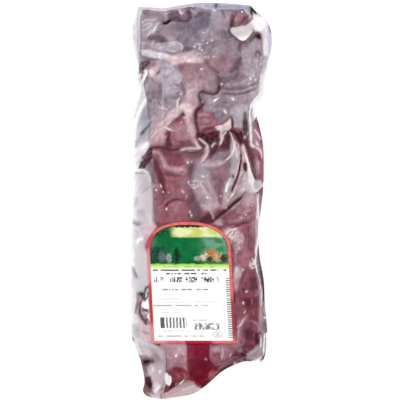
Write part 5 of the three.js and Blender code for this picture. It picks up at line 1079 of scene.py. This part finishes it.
def solid_copy(node, name):
    """A copy of a solid's mesh as a piece of its own, its doubled points merged."""
    piece = bpy.data.objects.new(name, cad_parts[node].data.copy())
    bpy.context.scene.collection.objects.link(piece)
    piece.data.materials.clear()
    only(piece)
    bpy.ops.object.mode_set(mode="EDIT")
    bpy.ops.mesh.select_all(action="SELECT")
    bpy.ops.mesh.remove_doubles(threshold=0.00001)
    bpy.ops.object.mode_set(mode="OBJECT")
    return piece


def pair_triangles(piece):
    only(piece)
    bpy.ops.object.mode_set(mode="EDIT")
    bpy.ops.mesh.select_all(action="SELECT")
    bpy.ops.mesh.tris_convert_to_quads(face_threshold=math.pi, shape_threshold=math.pi)
    bpy.ops.object.mode_set(mode="OBJECT")


def refine(piece, levels):
    only(piece)
    modifier = piece.modifiers.new("fine", "SUBSURF")
    modifier.levels = modifier.render_levels = levels
    bpy.ops.object.modifier_apply(modifier=modifier.name)
    bpy.ops.object.shade_smooth()


def cut_margin(piece):
    """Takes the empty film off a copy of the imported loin, ring by ring from its edge, and shuts the gap."""
    mesh = piece.data
    corners = [set(face.vertices) for face in mesh.polygons]
    up = [face.normal.z for face in mesh.polygons]
    edge = [i for i, z in enumerate(up) if abs(z) < 0.02]
    margin = set(edge)
    for side, rings in ((1, MARGIN_RINGS), (-1, MARGIN_RINGS_UNDER)):
        faces = [i for i, z in enumerate(up) if z * side >= 0.02]
        reached = set().union(*(corners[i] for i in edge))
        for _ in range(rings):
            ring = [i for i in faces if i not in margin and corners[i] & reached]
            margin.update(ring)
            reached = reached.union(*(corners[i] for i in ring))
    only(piece)
    bpy.ops.object.mode_set(mode="EDIT")
    bpy.ops.mesh.select_mode(type="FACE")
    bpy.ops.mesh.select_all(action="DESELECT")
    bpy.ops.object.mode_set(mode="OBJECT")
    mesh.polygons.foreach_set("select", [i in margin for i in range(len(mesh.polygons))])
    bpy.ops.object.mode_set(mode="EDIT")
    bpy.ops.mesh.delete(type="FACE")
    bpy.ops.mesh.select_mode(type="EDGE")
    bpy.ops.mesh.select_all(action="DESELECT")
    bpy.ops.mesh.select_non_manifold()
    bpy.ops.mesh.bridge_edge_loops()
    bpy.ops.object.mode_set(mode="OBJECT")


# Relief and colours

def meat_relief(where):
    """Metres by which the meat rises from the solid: lumps, less the creases."""
    depth = np.zeros(len(where))
    for _, route, half, _, deep in FLESH_STROKES:
        found, mask = stroke(where, route, CREASE_SPREAD * half, 2)
        depth[found] += deep * mask
    lumps = sum(height * wobble(where, size, seed) for size, seed, height in LUMPS)
    return (lumps - np.minimum(depth, DEEPEST)) * MM


def film_relief(where):
    """Metres by which the folds of the film rise."""
    rise = np.zeros(len(where))
    for _, route, half, _, high in FILM_STROKES:
        found, mask = stroke(where, route, half, 2)
        rise[found] = np.maximum(rise[found], high * mask)
    return rise * MM


def painted(shade):
    return linear(SHADES[shade]) / LIGHT_LEVEL


def film_painted(shade):
    """Painted colour of a shade of the film. Pale shades are brighter, for the light they let through."""
    return painted(shade) * (1 + (FILM_GAIN - 1) * smooth(GAIN_STARTS, GAIN_FULL, sum(SHADES[shade])))


def meat_colour(where, upper):
    """Painted colour of the meat: fields and strokes on the upper side, painted shadows by the folds and
    painted shading on the lumps, a plain mottle below.
    """
    drawn = hand_drawn(where)
    colour = np.tile(painted("meat"), (len(where), 1))
    for shade, outline, soft, strength in FLESH_FIELDS:
        found, mask = field(drawn, outline, soft)
        colour[found] += (strength * mask)[:, None] * (painted(shade) - colour[found])
    for shade, route, half, strength, _ in FLESH_STROKES:
        found, mask = stroke(drawn, route, half, 2.5)
        colour[found] += (strength * mask)[:, None] * (painted(shade) - colour[found])
    # Painted shadow: a dark line on the meat just beside each raised fold of film
    for _, route, half, cover, rise in FILM_STROKES:
        if rise:
            found, mask = stroke(drawn, points_along(route) + FOLD_SHADOW_SHIFT, 1.2 * half, 2)
            colour[found] *= (1 - FOLD_SHADOW_DARKNESS * cover * mask)[:, None]
    grain = sum(strength * wobble(drawn, size, seed) for size, seed, strength in GRAIN)
    colour *= np.exp(grain)[:, None]
    # Painted shading: each lump lighter on the side that faces the window light, darker on the far side
    slope = (meat_relief(where + SLOPE_STEP) - meat_relief(where - SLOPE_STEP)) / MM
    colour *= np.exp(PAINTED_SLOPE_SHADING * np.tanh(slope / FULL_SLOPE))[:, None]
    size, seed, strength = REDDER
    redder = strength * wobble(drawn, size, seed)
    colour *= np.exp(np.column_stack((0.5 * redder, -redder, -0.8 * redder)))
    mottle = smooth(-0.3, 0.5, wobble(where, *MOTTLE_BELOW))[:, None]
    below = painted("meat") * (1 - mottle) + painted("mauve") * mottle
    return colour * upper[:, None] + below * (1 - upper[:, None])


def film_paint(where, upper):
    """Painted colour and cover of the film: fields, strokes, wrinkles and glints, with painted highlights in
    the glints and along the folds.
    """
    drawn = hand_drawn(where)
    colour = np.tile(film_painted("film"), (len(where), 1))
    cover = np.full(len(where), THINNEST)
    uneven = np.clip(0.86 + 0.5 * wobble(drawn, 4, 71), 0.4, 1)

    def lay(found, strength, shade):
        """Lays a colour over what is there."""
        mask = strength + NEXT_TO_NOTHING
        under = cover[found] * (1 - mask)
        cover[found] = mask + under
        share = mask / (mask + under)
        colour[found] += share[:, None] * (film_painted(shade) - colour[found])

    for shade, outline, soft, strength in FILM_FIELDS:
        found, mask = field(drawn, outline, soft)
        lay(found, strength * mask, shade)
    everywhere = np.arange(len(where))
    # Wrinkles: pale lines of whitish film and painted sheen, fainter down the loin
    fade = WRINKLES_LOW + (1 - WRINKLES_LOW) * smooth(*WRINKLES_FADE, where[:, 1])
    for size, turn, seed, strength in WRINKLES:
        patchy = smooth(-0.1, 0.5, wobble(drawn, 20, seed + 5)) * fade
        lay(everywhere, strength * patchy * wrinkles(drawn, size, turn, seed), "pale")
    for shade, route, half, strength, _ in FILM_STROKES:
        dark = sum(SHADES[shade]) < DARK_SHADE
        for spread, crisp, share in ((1.9, 2, HALO), (1.0 if dark else 0.85, 2.4, 1)):
            found, mask = stroke(drawn, route, spread * half, crisp)
            lay(found, share * strength * mask * (1 if dark else uneven[found]), shade)
    # Glints: painted highlights, small bright spots in two pale shades by turns
    for number, (x, y, half_x, half_y, turn) in enumerate(GLINTS):
        found = near(where, ((x, y),), 4)
        bright = GLINT_BRIGHTNESS[number % len(GLINT_BRIGHTNESS)]
        ring = in_ellipse(drawn[found], x, y, 0.8 * half_x, 0.8 * half_y, turn)
        lay(found, bright * np.exp(-(ring ** 2)), ("fat and highlight", "white")[number % 2])
    return colour, cover * upper


# Shaders

class Wire:
    """A shader socket that takes part in sums."""

    def __init__(self, paint, socket):
        self.paint, self.socket = paint, socket

    def __add__(self, other):
        return self.paint.math("ADD", self, other)

    def __sub__(self, other):
        return self.paint.math("SUBTRACT", self, other)

    def __rsub__(self, other):
        return self.paint.math("SUBTRACT", other, self)

    def __mul__(self, other):
        return self.paint.math("MULTIPLY", self, other)

    def __truediv__(self, other):
        return self.paint.math("DIVIDE", self, other)

    __radd__ = __add__
    __rmul__ = __mul__


class Paint:
    """A material that is built node by node."""

    def __init__(self, name, world=None):
        self.material = world or bpy.data.materials.new(name)
        self.material.use_nodes = True
        self.tree = self.material.node_tree
        self.tree.nodes.clear()

    def node(self, kind, settings=None, inputs=None, output=0):
        made = self.tree.nodes.new(kind)
        for name, value in (settings or {}).items():
            setattr(made, name, value)
        for name, value in (inputs or {}).items():
            if isinstance(value, Wire):
                self.tree.links.new(value.socket, made.inputs[name])
            else:
                made.inputs[name].default_value = value
        return Wire(self, made.outputs[output]) if made.outputs else None

    def math(self, operation, *values):
        return self.node("ShaderNodeMath", {"operation": operation}, dict(enumerate(values)))

    def mix(self, share, first, second):
        """The first colour where the share is 0, the second where it is 1."""
        colours = [c if isinstance(c, Wire) else (*c, 1) for c in (first, second)]
        inputs = {0: share, 6: colours[0], 7: colours[1]}
        return self.node("ShaderNodeMix", {"data_type": "RGBA"}, inputs, 2)

    def vector(self, *parts):
        return self.node("ShaderNodeCombineXYZ", inputs=dict(enumerate(parts)))

    def noise_in(self, where, detail, rough=0.5):
        inputs = {"Vector": where, "Scale": 1.0, "Detail": detail, "Roughness": rough}
        return self.node("ShaderNodeTexNoise", inputs=inputs)

    def noise(self, lumps, detail=3, rough=0.5):
        """Noise in the piece's own space, in lumps of so many millimetres along each axis."""
        here = self.node("ShaderNodeTexCoord", output="Object")
        sizes = tuple(1 / (MM * size) for size in lumps)
        where = self.node("ShaderNodeMapping", inputs={"Vector": here, "Scale": sizes})
        return self.noise_in(where, detail, rough)

    def step(self, low, high, value):
        """0 below the low value, 1 above the high one, smooth between them."""
        inputs = {"Value": value, "From Min": low, "From Max": high}
        return self.node("ShaderNodeMapRange", {"interpolation_type": "SMOOTHSTEP"}, inputs)

    def between(self, value, rise, fall):
        """1 between two edges, each given by where it starts and where it ends."""
        return self.step(*rise, value) * (1 - self.step(*fall, value))

    def attribute(self, name, output="Fac"):
        return self.node("ShaderNodeAttribute", {"attribute_name": name}, output=output)

    def bump(self, height, distance, strength):
        inputs = {"Height": height, "Distance": distance, "Strength": strength}
        return self.node("ShaderNodeBump", inputs=inputs)

    def scaled(self, colour, share):
        return self.node("ShaderNodeVectorMath", {"operation": "SCALE"}, {0: colour, "Scale": share})

    def finish(self, inputs):
        """The material, with one glossy surface."""
        surface = self.node("ShaderNodeBsdfPrincipled", inputs=inputs)
        self.node("ShaderNodeOutputMaterial", inputs={"Surface": surface})
        return self.material


def venison():
    paint = Paint("raw_venison")
    flesh = paint.attribute("flesh", "Color")
    fibres = paint.noise(FIBRES, 4, 0.6)
    mottle = paint.noise(MOTTLE, 4, 0.6)
    creases = paint.noise(MEAT_CREASES, 3, 0.55)
    fine = (fibres - 0.5) * 0.34 + (mottle - 0.5) * 0.5 + 1
    return paint.finish({
        "Base Color": paint.scaled(flesh, fine),
        "Roughness": WET,
        "Specular IOR Level": MEAT_SHINE,
        "Normal": paint.bump(creases + fibres * 0.15, 1.2 * MM, 0.7),
    })


def clear_film():
    paint = Paint("clear_film")
    return paint.finish({
        "Base Color": paint.attribute("film_colour", "Color"),
        "Roughness": WET,
        "Specular IOR Level": FILM_SHINE,
        "Alpha": paint.attribute("film_cover"),
        "Normal": paint.bump(paint.noise(FILM_CREASES), MM, 0.5),
    })


def box(paint, across, up, edges):
    """Mask of a box of print between its left, foot, right and top."""
    left, foot, right, top = ((edge - PRINT_EDGE, edge + PRINT_EDGE) for edge in edges)
    return paint.between(across, left, right) * paint.between(up, foot, top)


def oval(paint, across, up, middle, half, soft):
    """Mask of an oval, 1 inside, with a soft edge of so much of its half widths."""
    x = (across - middle[0]) / half[0]
    y = (up - middle[1]) / half[1]
    return 1 - paint.step(1 - soft, 1 + soft, paint.math("SQRT", x * x + y * y))


def chance(paint, along, seed):
    """A number from 0 to 1 for each whole step along a line of print."""
    inputs = {"W": paint.math("FLOOR", along) + seed}
    return paint.node("ShaderNodeTexWhiteNoise", {"noise_dimensions": "1D"}, inputs)


def stamped(paint, across, up, size, seed):
    """Small upright marks, like print too small to read: a number from 0 to 1 for each cell."""
    cells = paint.vector(paint.math("FLOOR", across / size[0]), paint.math("FLOOR", up / size[1]), seed)
    return paint.node("ShaderNodeTexWhiteNoise", {"noise_dimensions": "3D"}, {"Vector": cells})


def picture(paint, across, up):
    """A made-up landscape: pale sky, wooded hills, a bright meadow and bushes in autumn colours."""
    def noise_at(x_size, y_size, seed, detail=2):
        return paint.noise_in(paint.vector(across / x_size, up / y_size, seed), detail)

    treetops = noise_at(5, 400, 1.5) * 10 + noise_at(1.6, 300, 4) * 4
    far_hill = noise_at(26, 400, 7) * 6
    leaves = noise_at(2.6, 2.2, 2, 3)
    lit_leaves = paint.step(0.4, 0.6, leaves)
    wash = noise_at(14, 9, 9)
    lit_wash = paint.step(0.42, 0.6, wash)
    haze = paint.step(48, 68, across) + (1 - paint.step(2, 14, across)) * 0.5

    colour = paint.mix(paint.step(0.4, 0.6, wash), *SKY)
    tall = 1 - paint.step(25, 33, across + leaves * 5)
    colour = paint.mix(tall, colour, paint.mix(lit_leaves, *TALL_TREES))
    slope = paint.mix(lit_wash * 0.8, paint.mix(haze, *HILL), HILL_DARK)
    light_patches = paint.step(0.5, 0.62, noise_at(9, 4, 5, 1)) * haze * 0.6
    slope = paint.mix(light_patches, slope, HILL_LIGHT)
    colour = paint.mix(1 - paint.step(-1, 1, up - HILL_TOP - far_hill), colour, slope)
    twigs = paint.step(-0.6, 0.6, up + leaves * 6 - TWIGS_FROM) * (1 - paint.step(54, 62, across))
    colour = paint.mix(twigs, colour, TWIGS)
    wood = 1 - paint.step(-0.8, 0.8, up - WOOD_TOP - treetops)
    wood = wood * (1 - paint.step(12, 34, across + leaves * 8)) * 0.9
    colour = paint.mix(wood, colour, paint.mix(lit_leaves, *WOOD))
    meadow = 1 - paint.step(-1.5, 1.5, up - MEADOW_TOP - across * 0.05)
    colour = paint.mix(meadow * 0.6, colour, paint.mix(lit_wash, *MEADOW))
    side_leaves, up_leaves = (leaves - 0.5) * 7, (leaves - 0.5) * 8
    bright_leaves = paint.step(0.35, 0.65, leaves)
    for middle, half, shade in BUSHES:
        ragged = oval(paint, across + side_leaves, up + up_leaves, middle, half, 0.3)
        shady = tuple(0.55 * part for part in shade)
        colour = paint.mix(ragged, colour, paint.mix(bright_leaves, shade, shady))
    speckle = paint.step(0.6, 0.75, noise_at(1.5, 1.5, 3, 1)) * 0.12
    return paint.mix(speckle, colour, SPECKLE)


def paper(paint, across, up, fade):
    """The picture, the bright band below it and the white panel."""
    below = 1 - paint.step(-1, 1, up - PICTURE_FOOT - (fade - 0.5) * 3)
    band = paint.mix(paint.step(PANEL_TOP - 1, PICTURE_FOOT, up), *BAND)
    colour = paint.mix(below, picture(paint, across, up), band)
    white = 1 - paint.step(PANEL_TOP - 2.5, PANEL_TOP + 1.5, up + (fade - 0.5) * 2)
    return paint.mix(white, colour, PANEL)


def print_marks(paint, across, up, fade):
    """How dark the print is: lines, title, large marks, bar code, side stripes and seal."""
    def stamps(edges, size, seed, low, high):
        return box(paint, across, up, edges) * paint.step(low, high, stamped(paint, across, up, size, seed))

    def stripes(edges, along, low, high):
        return box(paint, across, up, edges) * paint.step(low, high, paint.math("SINE", along))

    marks = []
    for number, (height, left, right, thick, dark, dash) in enumerate(PRINT_LINES):
        line = box(paint, across, up, (left, height - thick / 2, right, height + thick / 2))
        marks.append(line * paint.step(0.2, 0.4, chance(paint, across / dash, number)) * dark)
    word_gaps = paint.step(0.2, 0.25, chance(paint, across / 3.1, 35))
    marks.append(stamps(TITLE, (0.9, 1.7), 31, 0.44, 0.54) * word_gaps)
    marks.append(stamps(BIG_MARKS, (1.2, 2.1), 41, 0.45, 0.55) * 0.8)
    marks.append(stripes(BAR_CODE, across * 1.9 + fade * 3, -0.2, 0.3) * 0.9)
    marks.append(box(paint, across, up, BAR_CODE_START) * 0.95)
    marks.append(stripes(SIDE_STRIPES, up * 2.9 + fade * 4, -0.1, 0.4) * 0.95)
    ring = oval(paint, across, up, SEAL, (5, 3.2), 0.1) - oval(paint, across, up, SEAL, (4.2, 2.4), 0.12)
    marks.append((ring + oval(paint, across, up, SEAL, (2.2, 1.8), 0.3) * (fade + 0.2)) * 0.45)
    ink = 0
    for mark in marks:
        ink = paint.math("MAXIMUM", ink, mark)
    return ink


def bordered(paint, across, up, fade, colour):
    """The label's colour with the red border along its sides, its foot and its arch."""
    half = LABEL_WIDTH / PIXEL / 2
    middle = paint.math("ABSOLUTE", across - half)
    rise = paint.math("MAXIMUM", up - LABEL_SIDE / PIXEL, 0) / (ARCH_RISE / PIXEL - BORDER_WIDTH)
    arch = 1 - paint.math("POWER", paint.math("MINIMUM", rise, 1), ARCH_POWER)
    reach = paint.math("POWER", arch, 1 / ARCH_POWER) * (half - BORDER_WIDTH)
    left, right, foot, top = SHOULDER
    shoulder = paint.between(across, left, right) * paint.between(up, foot, top)
    depth = reach - middle - shoulder * 1.2
    shadow = (1 - paint.step(0, 2.4, depth)) * paint.step(88, 94, up) * 0.7
    colour = paint.mix(shadow, colour, ARCH_SHADOW)
    inner = paint.step(-BORDER_EDGE, BORDER_EDGE, depth) * (1 - paint.step(0.985, 1, rise))
    inner = inner * paint.step(BORDER_WIDTH - BORDER_EDGE, BORDER_WIDTH + BORDER_EDGE, up)
    red = paint.mix(paint.step(0.35, 0.65, fade), *BORDER_REDS)
    for left, right, foot, top, share, shade in BORDER_PATCHES:
        patch = paint.between(across, left, right) * paint.between(up, foot, top)
        red = paint.mix(patch * share, red, shade)
    return paint.mix(inner, red, colour)


def label_print():
    paint = Paint("label_print")
    here = paint.node("ShaderNodeTexCoord", output="Object")
    split = paint.node("ShaderNodeSeparateXYZ", inputs={"Vector": here})
    x, y = (Wire(paint, socket) for socket in split.socket.node.outputs[:2])
    up = (y - LABEL_FOOT[1]) / PIXEL
    across = (x - LABEL_FOOT[0]) / PIXEL - up * LABEL_LEAN + LABEL_WIDTH / PIXEL / 2
    grain = paint.noise(PAPER_GRAIN, 2)
    fade = paint.noise_in(paint.vector(across / 5, up / 3), 2)
    ink = print_marks(paint, across, up, fade) * (grain * 0.5 + 0.75)
    colour = paint.mix(paint.math("MINIMUM", ink, 1), paper(paint, across, up, fade), INK)
    colour = paint.mix(box(paint, across, up, SIDE_LINE) * 0.35, colour, PALE_INK)
    colour = bordered(paint, across, up, fade, colour)
    return paint.finish({
        "Base Color": paint.scaled(colour, 1 / LIGHT_LEVEL),
        "Roughness": PAPER,
        "Specular IOR Level": LABEL_SHINE,
        "Normal": paint.bump(grain, 0.05 * MM, 0.3),
    })


def plain(name, colour, roughness):
    paint = Paint(name)
    shade = paint.mix(paint.noise((3, 3, 3), 2) * 0.06, colour, tuple(0.9 * part for part in colour))
    return paint.finish({"Base Color": shade, "Roughness": roughness})


# Pieces

def shape_face(piece, with_folds):
    """Adds the fine relief to the upper face, keeping it smooth under the label."""
    points = points_of(piece)
    where = pixels(points)
    upper = smooth(-0.2, 0.0, normals_of(piece)[:, 2])
    under_label = smooth(-LABEL_SMOOTHS, 0, inside_label(points))
    rise = meat_relief(where)
    if with_folds:
        rise = rise + film_relief(where)
    points[:, 2] += rise * upper * (1 - (1 - RELIEF_UNDER_LABEL) * under_label)
    move_points(piece, points)
    return where, upper


def make_meat():
    piece = solid_copy("packed_loin", "venison_loin")
    cut_margin(piece)
    pair_triangles(piece)
    refine(piece, FINENESS)
    where, upper = shape_face(piece, False)
    keep_colour(piece, "flesh", meat_colour(where, upper))
    move_points(piece, points_of(piece) - normals_of(piece) * FILM_STANDS_OFF)
    piece.data.materials.append(venison())
    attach(piece, "root")
    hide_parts("packed_loin")


def make_film():
    piece = solid_copy("packed_loin", "bag_film")
    pair_triangles(piece)
    refine(piece, FINENESS)
    where, upper = shape_face(piece, True)
    colour, cover = film_paint(where, upper)
    keep_colour(piece, "film_colour", colour)
    keep_value(piece, "film_cover", cover)
    piece.data.materials.append(clear_film())
    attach(piece, "root")
    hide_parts("packed_loin")


def make_label():
    piece = solid_copy("label", "label_sheet")
    pair_triangles(piece)
    refine(piece, 1)
    piece.data.materials.append(label_print())
    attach(piece, "root")
    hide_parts("label")


# Floor, lights and camera

VIEW_WIDTH = 400 * PIXEL
VIEW_MIDDLE = (200.1, 199.1)  # pixels
VIEW_HEIGHT = 0.008  # height of the plane at which the photograph's pixels have their size
LENS, SENSOR = 250, 36  # millimetres
FAR_END = 20
FLOOR_SIZE = 6
CEILING, WALLS = 0.6, 1.65  # brightness of the studio straight above, and of its walls
# Square lights that face the origin: place, width, watts
LIGHTS = {
    "window_light": ((-0.6, 0.7, 1.5), 0.6, 14),
    "fill_light": ((0.9, -0.6, 1.5), 0.6, 14),
    "small_light": ((-0.3, 0.45, 0.8), 0.06, 1.2),
}


def make_floor():
    bpy.ops.object.select_all(action="DESELECT")
    bpy.ops.mesh.primitive_plane_add(size=FLOOR_SIZE)
    floor = bpy.context.active_object
    floor.name = "floor"
    floor.data.materials.append(plain("pale_floor", (0.97, 0.97, 0.97), 0.8))


def area_light(name, where, size, power):
    light = bpy.data.lights.new(name, "AREA")
    light.size = size
    light.energy = power
    holder = bpy.data.objects.new(name, light)
    bpy.context.scene.collection.objects.link(holder)
    holder.location = where
    holder.rotation_euler = (-Vector(where)).to_track_quat("-Z", "Y").to_euler()


def make_lights():
    studio = Paint("studio", bpy.data.worlds.new("studio"))
    height = studio.node("ShaderNodeSeparateXYZ", inputs={
        "Vector": studio.node("ShaderNodeTexCoord", output="Generated")}, output=2)
    strength = CEILING + (WALLS - CEILING) * (1 - studio.step(0.5, 0.97, height))
    light = studio.node("ShaderNodeBackground", inputs={"Color": (1, 1, 1, 1), "Strength": strength})
    studio.node("ShaderNodeOutputWorld", inputs={"Surface": light})
    bpy.context.scene.world = studio.material
    for name, (where, size, power) in LIGHTS.items():
        area_light(name, where, size, power)


def make_camera():
    camera = bpy.data.objects.new("camera", bpy.data.cameras.new("camera"))
    bpy.context.scene.collection.objects.link(camera)
    camera.data.lens = LENS
    camera.data.sensor_width = SENSOR
    camera.location = (*place(*VIEW_MIDDLE), VIEW_HEIGHT + VIEW_WIDTH * LENS / SENSOR)
    camera.data.clip_end = FAR_END
    bpy.context.scene.camera = camera
    bpy.context.scene.view_settings.view_transform = "Standard"


make_camera()
make_meat()
make_film()
make_label()
make_floor()
make_lights()
